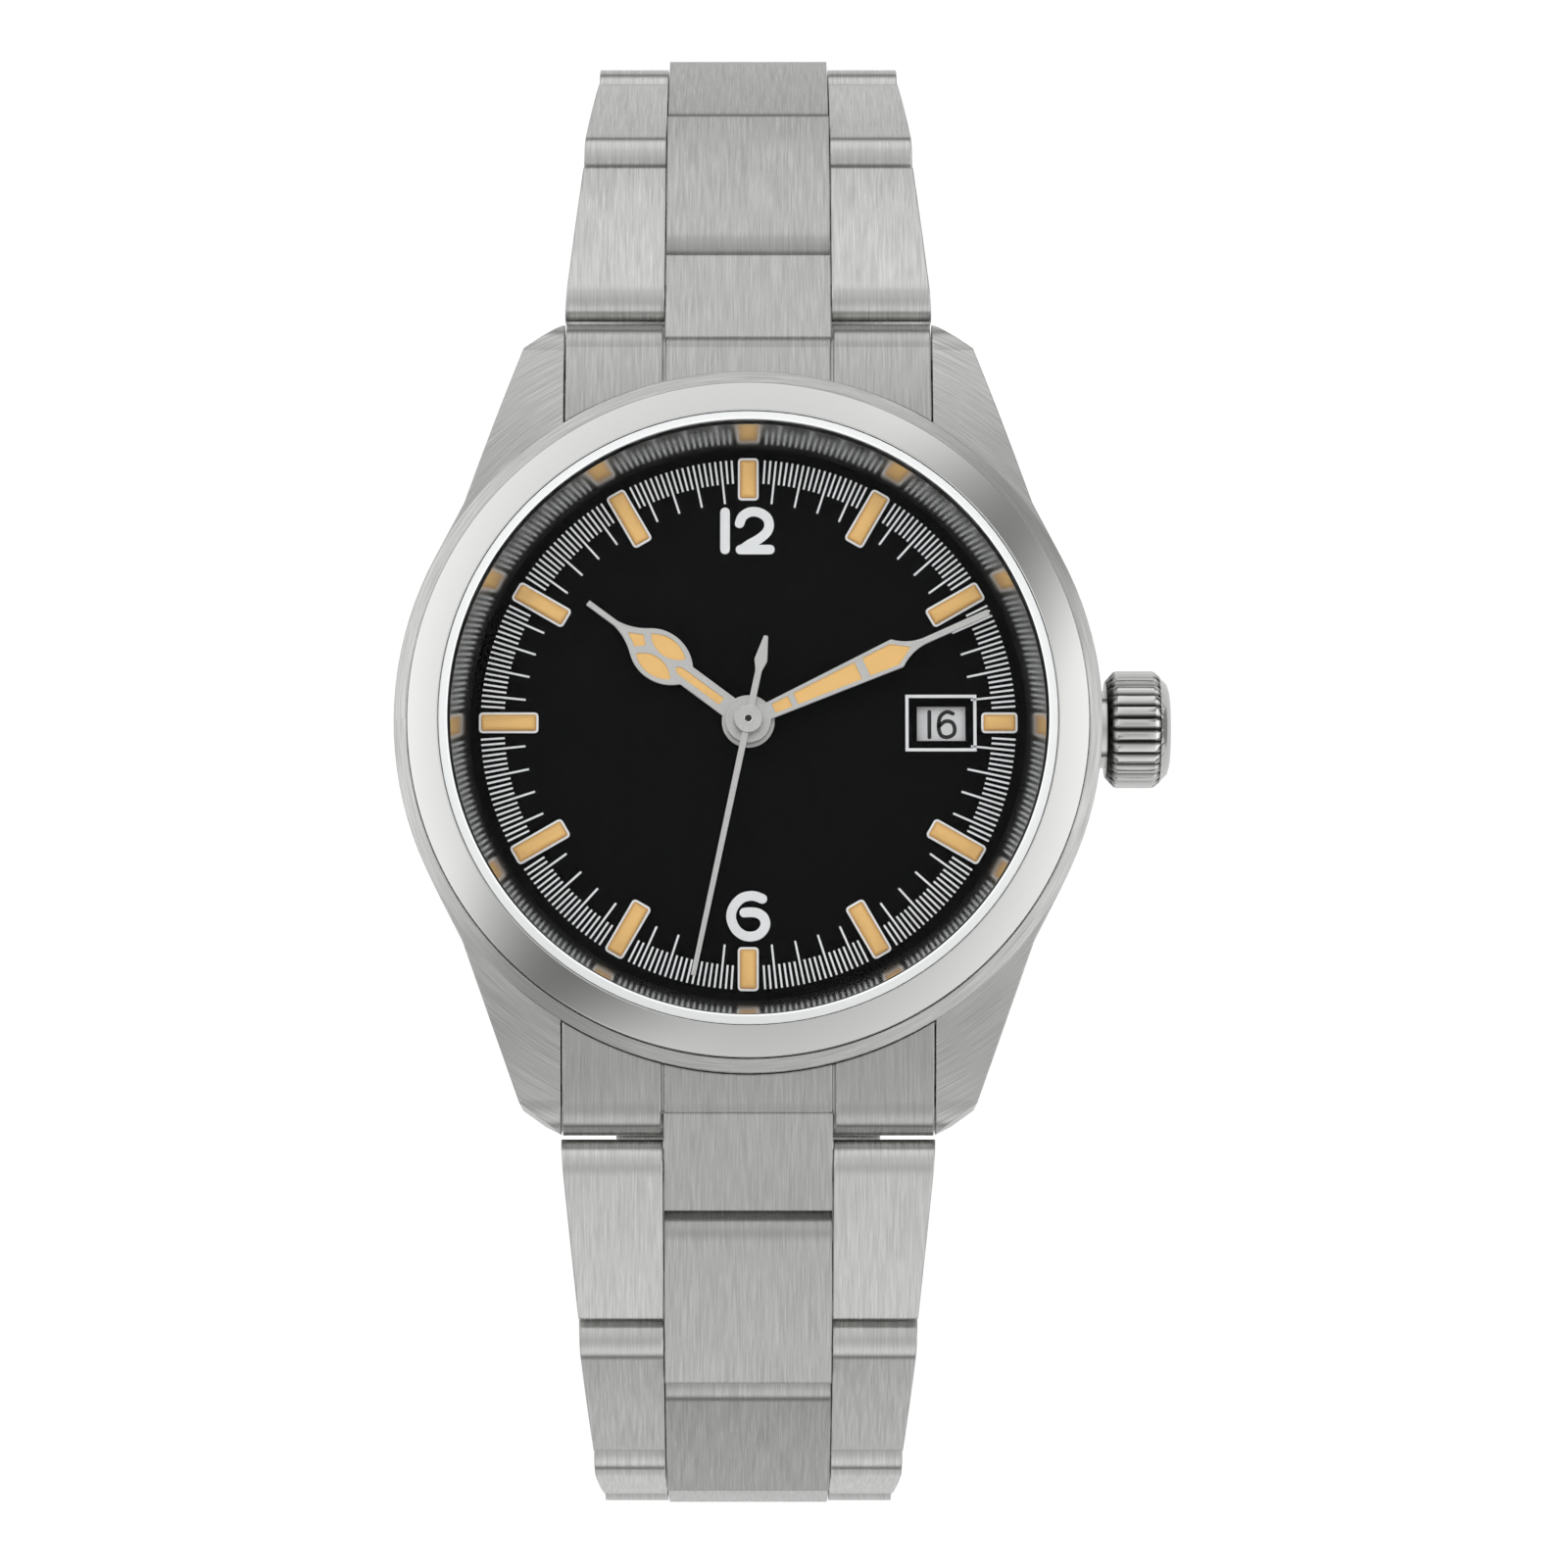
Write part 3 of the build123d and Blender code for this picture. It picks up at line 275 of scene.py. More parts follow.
# Sloped ring between crystal and dial. Turned steel, finely polished, so it
# mirrors the dial's edge as a row of soft bars.
POLISH_RING_MM = 0.3
dress(worked_steel("steel_mirror_grain", POLISHED_STEEL, circle_lines, POLISH_RING_MM, roughness=0.19,
                   edge_mm=0.03, depth=0.03, contrast=0.06, spread=0.3), "rehaut")

# Dial. A brass blank, sprayed matte black: deep, almost without shine, with a
# very fine paint grain.
DIAL_BLACK = "#050506"
PAINT_GRAIN_MM = 0.06      # coarser than a real 0.02 so that it shows
MATT_SHINE = 0.06          # plain paint has 0.5: matting agent takes the rest


def sprayed_paint(name, colour, grain_mm, roughness, depth=0.15, shine=0.5):
    """Sprayed or printed colour with a fine even grain."""
    material, tree = blank_material(name)
    place = add(tree, "ShaderNodeTexCoord").outputs["Object"]
    grain = add(tree, "ShaderNodeTexNoise", {"Vector": place, "Scale": 1 / (grain_mm * MM),
                                             "Detail": 2}).outputs["Fac"]
    tone = add(tree, "ShaderNodeMapRange", {"Value": grain, "To Min": 0.86, "To Max": 1.14}).outputs[0]
    base = add(tree, "ShaderNodeVectorMath", {0: linear(colour)[:3], "Scale": tone}, operation="SCALE")
    bump = add(tree, "ShaderNodeBump", {"Height": grain, "Strength": depth, "Distance": grain_mm * MM * 0.2})
    seal(tree, add(tree, "ShaderNodeBsdfPrincipled", {
        "Base Color": base.outputs[0], "Roughness": roughness, "Specular IOR Level": shine,
        "Normal": bump.outputs[0]}))
    return material


matte_black = sprayed_paint("paint_matte_black", DIAL_BLACK, PAINT_GRAIN_MM, roughness=0.55, shine=MATT_SHINE)
dress(matte_black, "dial")
dial_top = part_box("dial")[1].z / MM

# Printed minute track: pad printing in white ink, five strokes to a minute, the
# minute strokes longer, and none beside the hour bars.
INK_MM, INK_GRAIN_MM = 0.02, 0.05
INK_WHITE = "#E9EBEC"
TRACK_OUT_MM, SHORT_IN_MM, LONG_IN_MM = 14.42, 13.14, 12.06
STROKE_MM = 0.11
STROKES_A_MINUTE = 5
STROKE_STEP_DEG = 6 / STROKES_A_MINUTE
HOUR_STEP_DEG, HOUR_CLEAR_DEG = 30, 2.5
ink = sprayed_paint("ink_white", INK_WHITE, INK_GRAIN_MM, roughness=0.6, depth=0.1)


def clock_point(x, y, clock_deg):
    """A point drawn at 12 o'clock, moved clockwise round the dial."""
    a = math.radians(clock_deg)
    return (x * math.cos(a) + y * math.sin(a), y * math.cos(a) - x * math.sin(a))


def layer(name, outlines, z, thickness, material, body):
    """Flat shapes of an even thickness, each from one closed outline."""
    points, faces = [], []
    for outline in outlines:
        n, start = len(outline), len(points)
        points += [(x, y, z) for x, y in outline] + [(x, y, z + thickness) for x, y in outline]
        faces.append(tuple(start + i for i in reversed(range(n))))
        faces.append(tuple(start + n + i for i in range(n)))
        faces += [(start + i, start + (i + 1) % n, start + n + (i + 1) % n, start + n + i) for i in range(n)]
    return shaped(name, points, faces, material, body)


def rectangle(x0, y0, x1, y1):
    """The outline of a rectangle between two corners."""
    return [(x0, y0), (x1, y0), (x1, y1), (x0, y1)]


track = []
for i in range(round(360 / STROKE_STEP_DEG)):
    clock = i * STROKE_STEP_DEG
    if abs((clock + HOUR_STEP_DEG / 2) % HOUR_STEP_DEG - HOUR_STEP_DEG / 2) < HOUR_CLEAR_DEG:
        continue
    inner = LONG_IN_MM if i % STROKES_A_MINUTE == 0 else SHORT_IN_MM
    stroke = rectangle(-STROKE_MM / 2, inner, STROKE_MM / 2, TRACK_OUT_MM)
    track.append([clock_point(x, y, clock) for x, y in stroke])
minute_track = layer("minute_track", track, dial_top, INK_MM, ink, "case")

# Numerals 12 and 6 and the frame round the date, in the same white ink, drawn
# with one round-ended stroke.
NUMERAL_STROKE_MM = 0.52
FRAME_LINE_MM = 0.17
FRAME_SIZE_MM = (3.83, 3.08)
DATE_R_MM = 10.38          # from the dial's centre to the middle of the date window


def smooth_path(points, steps=7):
    """A smooth line through given points."""
    out = []
    ends = [points[0]] + list(points) + [points[-1]]
    for a, b, c, d in zip(ends, ends[1:], ends[2:], ends[3:]):
        for i in range(steps):
            t = i / steps
            out.append(tuple(0.5 * (2 * q + (r - p) * t + (2 * p - 5 * q + 4 * r - s) * t * t
                                    + (3 * q - p - 3 * r + s) * t ** 3)
                             for p, q, r, s in zip(a, b, c, d)))
    return out + [tuple(points[-1])]


def pen_stroke(path, width):
    """The outline of a round pen drawn along a path."""
    half = width / 2
    left, right, turns = [], [], []
    for i, (x, y) in enumerate(path):
        before, after = path[max(i - 1, 0)], path[min(i + 1, len(path) - 1)]
        turn = math.atan2(after[1] - before[1], after[0] - before[0])
        turns.append(math.degrees(turn))
        left.append((x - half * math.sin(turn), y + half * math.cos(turn)))
        right.append((x + half * math.sin(turn), y - half * math.cos(turn)))
    head = arc(path[-1], half, turns[-1] - 90, turns[-1] + 90, 8)[1:-1]
    tail = arc(path[0], half, turns[0] + 90, turns[0] + 270, 8)[1:-1]
    return right + head + left[::-1] + tail


one = [(-1.255, 9.50), (-1.255, 11.54)]
two_bow = smooth_path([(-0.47, 10.93), (-0.30, 11.32), (0.12, 11.56), (0.60, 11.52), (1.00, 11.25),
                       (1.13, 10.83), (0.98, 10.42), (0.55, 10.05), (0.05, 9.77), (-0.30, 9.50)])
two_foot = [(-0.42, 9.49), (1.17, 9.49)]
six = smooth_path([(0.755, -9.53), (0.45, -9.41), (0.15, -9.365), (-0.30, -9.47), (-0.66, -9.78),
                   (-0.88, -10.20), (-0.90, -10.66), (-0.66, -11.18), (-0.28, -11.48), (0.08, -11.56),
                   (0.50, -11.48), (0.81, -11.20), (0.92, -10.86), (0.81, -10.52), (0.52, -10.31),
                   (0.18, -10.25), (-0.21, -10.27)])
numeral_strokes = [pen_stroke(path, NUMERAL_STROKE_MM) for path in (one, two_bow, six)]
numerals = layer("numerals_12_and_6", numeral_strokes, dial_top, INK_MM, ink, "case")
# The foot of the 2 lies a hair higher than its bow, so that no two faces share a place.
two_base = layer("numeral_2_foot", [pen_stroke(two_foot, NUMERAL_STROKE_MM)], dial_top, INK_MM * 1.1,
                 ink, "case")

left, right = DATE_R_MM - FRAME_SIZE_MM[0] / 2, DATE_R_MM + FRAME_SIZE_MM[0] / 2
top, line = FRAME_SIZE_MM[1] / 2, FRAME_LINE_MM
date_frame = layer("date_frame", [
    rectangle(left, top - line, right, top),
    rectangle(left, -top, right, line - top),
    rectangle(left, line - top, left + line, top - line),
    rectangle(right - line, line - top, right, top - line),
], dial_top, INK_MM, ink, "case")

# Hour bars. A white printed base with a bed of cream luminous paint on it,
# laid on thick, so that it domes. The shade towards its rim is painted browner.
BAR_END_MM, BAR_W_MM, BAR_RIM_MM, BAR_CORNER_MM = 14.5, 1.12, 0.12, 0.22
BAR_LENGTHS_MM = {0: 2.32, 90: 1.95, 180: 2.36}    # beside the 12, the date and the 6
BAR_LENGTH_MM = 3.2        # of the other nine
BAR_BASE_MM = 0.12
LUME_CREAM = "#F0C27A"
# painted shade at the foot of the lume's dome
LUME_SHADE_BROWN = "#C88C40"
LUME_GRAIN_MM = 0.12       # coarser than the powder's real 0.03 so that it shows
LUME_DOME_MM = 0.16
DOME_STEPS_MM = ((0, 0), (0.02, 0.06), (0.08, 0.12), (0.2, LUME_DOME_MM))    # inset, rise
SMALLEST_CORNER_MM = 0.03


def rounded_bar(width, length, corner, clock, shift):
    """The outline of a bar with round corners, placed round the dial."""
    w, l = width / 2 - corner, length / 2 - corner
    points = (arc((w, l), corner, 0, 90) + arc((-w, l), corner, 90, 180)
              + arc((-w, -l), corner, 180, 270) + arc((w, -l), corner, 270, 360))
    return [clock_point(x, y + shift, clock) for x, y in points]


def lume_paint(name, colour, shade_colour, foot_mm):
    """Luminous paint: matte, slightly grainy, with painted shade: browner low down at the rim of its dome."""
    material, tree = blank_material(name)
    place = add(tree, "ShaderNodeTexCoord").outputs["Object"]
    grain = add(tree, "ShaderNodeTexNoise", {"Vector": place, "Scale": 1 / (LUME_GRAIN_MM * MM),
                                             "Detail": 3}).outputs["Fac"]
    tone = add(tree, "ShaderNodeMapRange", {"Value": grain, "To Min": 0.93, "To Max": 1.07}).outputs[0]
    rise = add(tree, "ShaderNodeSeparateXYZ", {"Vector": place}).outputs["Z"]
    out_of_shade = add(tree, "ShaderNodeMapRange", {"Value": rise, "From Min": foot_mm * MM,
                                             "From Max": (foot_mm + LUME_DOME_MM) * MM}).outputs[0]
    # Painted shade: the lume turns browner low down, towards the rim of its dome.
    paint = add(tree, "ShaderNodeMix", {"Factor": out_of_shade, "A": linear(shade_colour), "B": linear(colour)},
                data_type="RGBA")
    base = add(tree, "ShaderNodeVectorMath", {0: paint.outputs[2], "Scale": tone}, operation="SCALE")
    bump = add(tree, "ShaderNodeBump", {"Height": grain, "Strength": 0.1, "Distance": 0.02 * MM})
    seal(tree, add(tree, "ShaderNodeBsdfPrincipled", {
        "Base Color": base.outputs[0], "Roughness": 0.5, "Normal": bump.outputs[0]}))
    return material


bases = []
lume_points, lume_faces = [], []
for clock in range(0, 360, HOUR_STEP_DEG):
    length = BAR_LENGTHS_MM.get(clock, BAR_LENGTH_MM)
    shift = BAR_END_MM - length / 2
    bases.append(rounded_bar(BAR_W_MM, length, BAR_CORNER_MM, clock, shift))
    rings = []
    for inset, rise in DOME_STEPS_MM:
        w, l = BAR_W_MM - 2 * (BAR_RIM_MM + inset), length - 2 * (BAR_RIM_MM + inset)
        corner = max(BAR_CORNER_MM - BAR_RIM_MM - inset / 2, SMALLEST_CORNER_MM)
        rings.append((rounded_bar(w, l, corner, clock, shift), rise))
    start, n = len(lume_points), len(rings[0][0])
    for ring, rise in rings:
        lume_points += [(x, y, dial_top + BAR_BASE_MM + rise) for x, y in ring]
    for k in range(len(rings) - 1):
        lume_faces += [(start + k * n + i, start + k * n + (i + 1) % n,
                        start + (k + 1) * n + (i + 1) % n, start + (k + 1) * n + i) for i in range(n)]
    lume_faces.append(tuple(start + (len(rings) - 1) * n + i for i in range(n)))
    lume_faces.append(tuple(start + i for i in reversed(range(n))))
hour_bars = layer("hour_bar_bases", bases, dial_top, BAR_BASE_MM, ink, "case")
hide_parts("hour_markers")
cream = lume_paint("luminous_paint_cream", LUME_CREAM, LUME_SHADE_BROWN, dial_top + BAR_BASE_MM)
hour_lume = shaped("hour_bar_lume", lume_points, lume_faces, cream, "case", sharp_deg=80)
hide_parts("marker_lume")

# Date disc: a thin ring in pale grey enamel, printed with black numbers, one a
# day. Only the 16 shows in the window.
DISC_GREY, ENAMEL_GRAIN_MM = "#D9DADB", 0.08
INK_BLACK = "#101012"
DAYS, SHOWN_DATE = 31, 16
DATE_TALL_MM, DATE_STROKE_MM = 1.38, 0.21
DATE_WIDE, DATE_ONE_WIDE = 0.62, 0.2    # shares of the height
DATE_GAP_MM = 0.36
date_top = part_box("date_disc")[1].z / MM
dress(sprayed_paint("enamel_pale_grey", DISC_GREY, ENAMEL_GRAIN_MM, roughness=0.45), "date_disc")
date_ink = sprayed_paint("ink_black", INK_BLACK, INK_GRAIN_MM, roughness=0.5)
# Each digit's strokes, in shares of its width and height.
digit_shares = {
    "0": [[(0.5, 1), (0.12, 0.85), (0, 0.5), (0.12, 0.15), (0.5, 0), (0.88, 0.15), (1, 0.5),
           (0.88, 0.85), (0.52, 1)]],
    "1": [[(0.5, 0), (0.5, 1)]],
    "2": [[(0.02, 0.78), (0.2, 0.97), (0.6, 1), (0.95, 0.8), (0.85, 0.5), (0.3, 0.18), (0, 0)],
          [(0, 0), (1, 0)]],
    "3": [[(0.05, 0.85), (0.45, 1), (0.9, 0.83), (0.8, 0.6), (0.4, 0.53), (0.85, 0.44), (0.97, 0.22),
           (0.5, 0), (0.02, 0.15)]],
    "4": [[(0.75, 0), (0.75, 1)], [(0.75, 1), (0, 0.3), (1, 0.3)]],
    "5": [[(0.92, 1), (0.15, 1), (0.08, 0.55)],
          [(0.08, 0.55), (0.5, 0.64), (0.95, 0.35), (0.6, 0.02), (0.02, 0.1)]],
    "6": [[(0.9, 0.93), (0.5, 1), (0.1, 0.8), (0, 0.4), (0.15, 0.08), (0.55, 0), (0.95, 0.13), (1, 0.4),
           (0.8, 0.6), (0.4, 0.62), (0.06, 0.45)]],
    "7": [[(0, 1), (1, 1), (0.35, 0)]],
    "8": [[(0.5, 0.53), (0.12, 0.7), (0.2, 0.95), (0.5, 1), (0.8, 0.95), (0.88, 0.7), (0.5, 0.53),
           (0.05, 0.3), (0.15, 0.05), (0.5, 0), (0.85, 0.05), (0.95, 0.3), (0.52, 0.52)]],
    "9": [[(0.1, 0.07), (0.5, 0), (0.9, 0.2), (1, 0.6), (0.85, 0.92), (0.45, 1), (0.05, 0.87), (0, 0.6),
           (0.2, 0.4), (0.6, 0.38), (0.94, 0.55)]],
}
straight_digits = ("1", "4", "7")
date_outlines = []
for day in range(1, DAYS + 1):
    a = math.radians((SHOWN_DATE - day) * 360 / DAYS)
    widths = [(DATE_ONE_WIDE if digit == "1" else DATE_WIDE) * DATE_TALL_MM for digit in str(day)]
    left = -(sum(widths) + DATE_GAP_MM * (len(widths) - 1)) / 2
    for digit, width in zip(str(day), widths):
        for shares in digit_shares[digit]:
            path = [(left + x * width, (y - 0.5) * DATE_TALL_MM) for x, y in shares]
            if digit not in straight_digits and len(path) > 2:
                path = smooth_path(path, 4)
            placed = [(DATE_R_MM + x, y) for x, y in pen_stroke(path, DATE_STROKE_MM)]
            date_outlines.append([(x * math.cos(a) - y * math.sin(a), x * math.sin(a) + y * math.cos(a))
                                  for x, y in placed])
        left += width + DATE_GAP_MM
date_numbers = layer("date_numbers", date_outlines, date_top, INK_MM / 2, date_ink, "date")

# Hands. Stamped brass, nickel plated and grained: a soft silver-grey face, with
# the openings filled with the same cream luminous paint as the hour bars.
HAND_SILVER = "#D2D2D0"
HAND_GRAIN_MM = 0.07       # coarser than a real 0.02 so that it shows
CUT_EDGE_MM = 0.05


def frosted_metal(name, colour, grain_mm, roughness=0.42):
    """Plated metal with a fine blasted grain and bright cut edges."""
    material, tree = blank_material(name)
    place = add(tree, "ShaderNodeTexCoord").outputs["Object"]
    grain = add(tree, "ShaderNodeTexNoise", {"Vector": place, "Scale": 1 / (grain_mm * MM),
                                             "Detail": 3}).outputs["Fac"]
    tone = add(tree, "ShaderNodeMapRange", {"Value": grain, **GRAIN_SPAN, "To Min": 0.88,
                                            "To Max": 1.06}).outputs[0]
    base = add(tree, "ShaderNodeVectorMath", {0: linear(colour)[:3], "Scale": tone}, operation="SCALE")
    edge = add(tree, "ShaderNodeBevel", {"Radius": CUT_EDGE_MM * MM}, samples=4)
    bump = add(tree, "ShaderNodeBump", {"Height": grain, "Normal": edge.outputs[0], "Strength": 0.3,
                                        "Distance": grain_mm * MM * 0.2})
    seal(tree, add(tree, "ShaderNodeBsdfPrincipled", {
        "Base Color": base.outputs[0], "Metallic": 1, "Roughness": roughness,
        "Normal": bump.outputs[0]}))
    return material


hand_silver = frosted_metal("nickel_frosted", HAND_SILVER, HAND_GRAIN_MM)
dress(hand_silver, "hour_hand", "minute_hand", "seconds_hand")
dress(hand_silver, "hour_wheel", "cannon_pinion", "seconds_arbor")
dress(cream, "hour_hand_lume", "minute_hand_lume")

# Tube of the seconds hand: polished steel, riveted over at its upper end, so that
# a bore shows inside a bright turned rim. The bore's darkness is painted as a
# black disc.
TUBE_BORE_MM, TUBE_RIM_MM, TUBE_STEPS = 0.18, 0.07, 48
tube_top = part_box("seconds_hand")[1].z / MM
tube_foot = tube_top - TUBE_RIM_MM
circle = arc((0, 0), TUBE_BORE_MM, 0, 360, 32)[:-1]
# Painted shade: a black disc stands for the dark inside the bore.
tube_bore_painted_shade = layer("seconds_tube_bore_painted_shade", [circle], tube_foot, TUBE_RIM_MM * 1.1, date_ink, "seconds")
tube_rim = turned_ring("seconds_tube_rim", [
    (TUBE_BORE_MM, tube_foot),
    (TUBE_BORE_MM + TUBE_RIM_MM, tube_foot),
    (TUBE_BORE_MM + TUBE_RIM_MM * 0.6, tube_top + TUBE_RIM_MM * 0.7),
    (TUBE_BORE_MM, tube_top + TUBE_RIM_MM * 0.5),
], TUBE_STEPS, bezel_steel, "seconds")

# Movement under the dial: plate, bridge, swinging weight and balance in brass with
# a pale satin plating, stem, lever, pins and tube in bright steel. It is closed in.
PLATED_BRASS, SATIN_GRAIN_MM = "#C9B27A", 0.15
plated_brass = frosted_metal("brass_plated_satin", PLATED_BRASS, SATIN_GRAIN_MM, roughness=0.35)
dress(plated_brass, "main_plate", "movement_bridge", "rotor", "balance_wheel")
small_steel = polished_steel("steel_bright_small", roughness=0.12)
dress(small_steel, "winding_stem", "setting_lever", "lug_spring_bars", "crown_tube")

# Crown. Steel turned on a lathe, with grooves milled along it for the fingers
# and a polished domed end. Each groove runs out in a point at both bevels.
CROWN_TEETH, CROWN_STEPS = 28, 8
GROOVE_MM = 0.3
CROWN_END_MM = 0.6         # the smooth end, where no shade is painted
crown_low, crown_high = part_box("crown")
crown_x0, crown_x1 = crown_low.x / MM, crown_high.x / MM
crown_r = (crown_high.y - crown_low.y) / 2 / MM
crown_z = (crown_high.z + crown_low.z) / 2 / MM
crown_l = crown_x1 - crown_x0
# The crown's side: millimetres out from its inner end, then the radius there.
outline = [(0, 2.3), (0, 2.62), (0.22, 2.86), (0.45, crown_r - 0.06), (0.6, crown_r), (1.2, crown_r),
           (2.0, crown_r), (crown_l - 1.0, crown_r), (crown_l - 0.85, crown_r - 0.05),
           (crown_l - 0.55, 2.86), (crown_l - 0.42, 2.70), (crown_l - 0.34, 2.64), (crown_l - 0.16, 2.45),
           (crown_l - 0.05, 2.1), (crown_l - 0.01, 1.5), (crown_l, 0.6)]
wave_shares = (1, 1, 1, 0.93, 0.45, 0.05, 0.45, 0.93)    # one tooth and one groove
points, faces = [], []
ring = CROWN_TEETH * CROWN_STEPS
for x, limit in outline:
    for i in range(ring):
        groove = GROOVE_MM * (1 - wave_shares[i % CROWN_STEPS])
        a = 2 * math.pi * i / ring
        r = min(limit, crown_r - groove)
        points.append((crown_x0 + x, r * math.cos(a), crown_z + r * math.sin(a)))
for k in range(len(outline) - 1):
    faces += [(k * ring + i, k * ring + (i + 1) % ring, (k + 1) * ring + (i + 1) % ring, (k + 1) * ring + i)
              for i in range(ring)]
points.append((crown_x0, 0, crown_z))
points.append((crown_x1, 0, crown_z))
faces += [(len(points) - 2, (i + 1) % ring, i) for i in range(ring)]
last = (len(outline) - 1) * ring
faces += [(len(points) - 1, last + i, last + (i + 1) % ring) for i in range(ring)]


def grooved_steel(name, axis_z, rim_mm, end_mm):
    """Polished steel with painted shade: darker the nearer the axis along X, so down in its grooves and on
    the inner end, but not at the outer end.
    """
    material, tree = blank_material(name)
    place = add(tree, "ShaderNodeTexCoord").outputs["Object"]
    axes = add(tree, "ShaderNodeSeparateXYZ", {"Vector": place}).outputs
    rise = add(tree, "ShaderNodeMath", {0: axes["Z"], 1: axis_z * MM}, operation="SUBTRACT").outputs[0]
    spoke = add(tree, "ShaderNodeCombineXYZ", {"Y": axes["Y"], "Z": rise}).outputs[0]
    radius = add(tree, "ShaderNodeVectorMath", {0: spoke}, operation="LENGTH").outputs["Value"]
    # Painted shade: the steel's colour darkens towards the axis, down in the grooves and on the crown's inner
    # end.
    lit = add(tree, "ShaderNodeMapRange", {
        "Value": radius, "From Min": (rim_mm - GROOVE_MM) * MM, "From Max": (rim_mm - GROOVE_MM * 0.15) * MM,
        "To Min": 0.06, "To Max": 1.0}, interpolation_type="SMOOTHSTEP").outputs[0]
    end = add(tree, "ShaderNodeMath", {0: axes["X"], 1: end_mm * MM}, operation="GREATER_THAN").outputs[0]
    shade = add(tree, "ShaderNodeMath", {0: lit, 1: end}, operation="MAXIMUM").outputs[0]
    base = add(tree, "ShaderNodeVectorMath", {0: linear(POLISHED_STEEL)[:3], "Scale": shade},
               operation="SCALE")
    edge = add(tree, "ShaderNodeBevel", {"Radius": CUT_EDGE_MM * MM}, samples=4)
    seal(tree, add(tree, "ShaderNodeBsdfPrincipled", {
        "Base Color": base.outputs[0], "Metallic": 1, "Roughness": 0.13, "Normal": edge.outputs[0]}))
    return material


crown_steel = grooved_steel("steel_polished_painted_groove_shade", crown_z, crown_r, crown_x1 - CROWN_END_MM)
crown_knob = shaped("crown_knob", points, faces, crown_steel, "crown", sharp_deg=40)
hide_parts("crown")

# Bracelet: solid steel links, milled, brushed lengthwise on a belt and joined by
# pins. The end pieces fill the space between the lugs.
LINK_LINE_MM = 0.08        # coarser than the belt's real 0.03 so that it shows
LINE_STRETCH = 30          # a line's length over its width
LOOP_MIDDLE_MM = -14.3     # height of the closed bracelet's middle
LINK_EDGE_MM, LINK_CONTRAST = 0.14, 0.24
OUTER_STEEL = "#DADAD8"
CENTRE_STEEL = "#C6C6C4"   # the centre pieces come from a finer belt, a little darker


def straight_lines(tree, line_mm):
    """Lines along the bracelet, as a belt leaves them, and the way across them."""
    place = add(tree, "ShaderNodeTexCoord").outputs["Object"]
    across, along = 1 / (line_mm * MM), 1 / (line_mm * LINE_STRETCH * MM)
    on_top = add(tree, "ShaderNodeVectorMath", {0: place, 1: (across, along, along)},
                 operation="MULTIPLY").outputs[0]
    loop = add(tree, "ShaderNodeVectorMath", {0: place, 1: (0, 0, LOOP_MIDDLE_MM * MM)},
               operation="SUBTRACT").outputs[0]
    loop = add(tree, "ShaderNodeVectorMath", {0: loop, 1: (0, 1, 1)}, operation="MULTIPLY").outputs[0]
    loop_r = add(tree, "ShaderNodeVectorMath", {0: loop}, operation="LENGTH").outputs["Value"]
    loop_r = add(tree, "ShaderNodeMath", {0: loop_r, 1: across}, operation="MULTIPLY").outputs[0]
    loop_r = add(tree, "ShaderNodeCombineXYZ", {"X": loop_r}).outputs[0]
    on_side = add(tree, "ShaderNodeVectorMath", {0: loop, 1: (along, along, along)},
                  operation="MULTIPLY").outputs[0]
    on_side = add(tree, "ShaderNodeVectorMath", {0: on_side, 1: loop_r}, operation="ADD").outputs[0]
    lines = add(tree, "ShaderNodeMix", {"Factor": facing(tree, "X"), "A": on_top, "B": on_side},
                data_type="VECTOR").outputs[1]
    return lines, add(tree, "ShaderNodeCombineXYZ", {"X": 1}).outputs[0]


link_steel = worked_steel("steel_brushed_lengthwise", OUTER_STEEL, straight_lines, LINK_LINE_MM,
                          edge_mm=LINK_EDGE_MM, contrast=LINK_CONTRAST)
centre_steel = worked_steel("steel_brushed_fine", CENTRE_STEEL, straight_lines, LINK_LINE_MM,
                            edge_mm=LINK_EDGE_MM, contrast=LINK_CONTRAST)
links = [name for name in parts if name.startswith("row_")]
dress(link_steel, *[name for name in links if name.endswith("outer")])
dress(centre_steel, "end_link_12", "end_link_6", *[name for name in links if name.endswith("centre")])

# Folding clasp: a bent steel cover with a flap, over two leaves pressed from
# sheet. The outside is brushed like the links, the leaves are half polished.
LEAF_STEEL = "#B2B2B0"     # sheet straight from the press, greyer than ground steel
dress(link_steel, "clasp_cover", "safety_flap")
leaf_steel = worked_steel("steel_sheet_half_polished", LEAF_STEEL, straight_lines, LINK_LINE_MM,
                          roughness=0.22, edge_mm=0.06, depth=0.08, contrast=0.14)
dress(leaf_steel, "clasp_blade_outer", "clasp_blade_inner")

# Floor: a plain white sheet, so far under the watch that the opened clasp swings
# clear of it and the case back can be seen. It shows white to the camera.
FLOOR_WHITE = "#C9C9C9"
FLOOR_SIZE, FLOOR_DROP = 6.0, 0.40
FLOOR_GLOW, GLOW_SHARE = 1.1, 0.85      # the rest of the share is lit paper
METAL_SHARE = 0.3          # of that glow, where metal mirrors the floor
floor_z = cad_box[0][2] - FLOOR_DROP
half = FLOOR_SIZE / 2
mesh = bpy.data.meshes.new("floor_sheet")
mesh.from_pydata([(x, y, floor_z) for x, y in rectangle(-half, -half, half, half)], [], [(0, 1, 2, 3)])
floor = bpy.data.objects.new("floor_sheet", mesh)
bpy.context.scene.collection.objects.link(floor)
material, tree = blank_material("paper_white")
paths = add(tree, "ShaderNodeLightPath").outputs
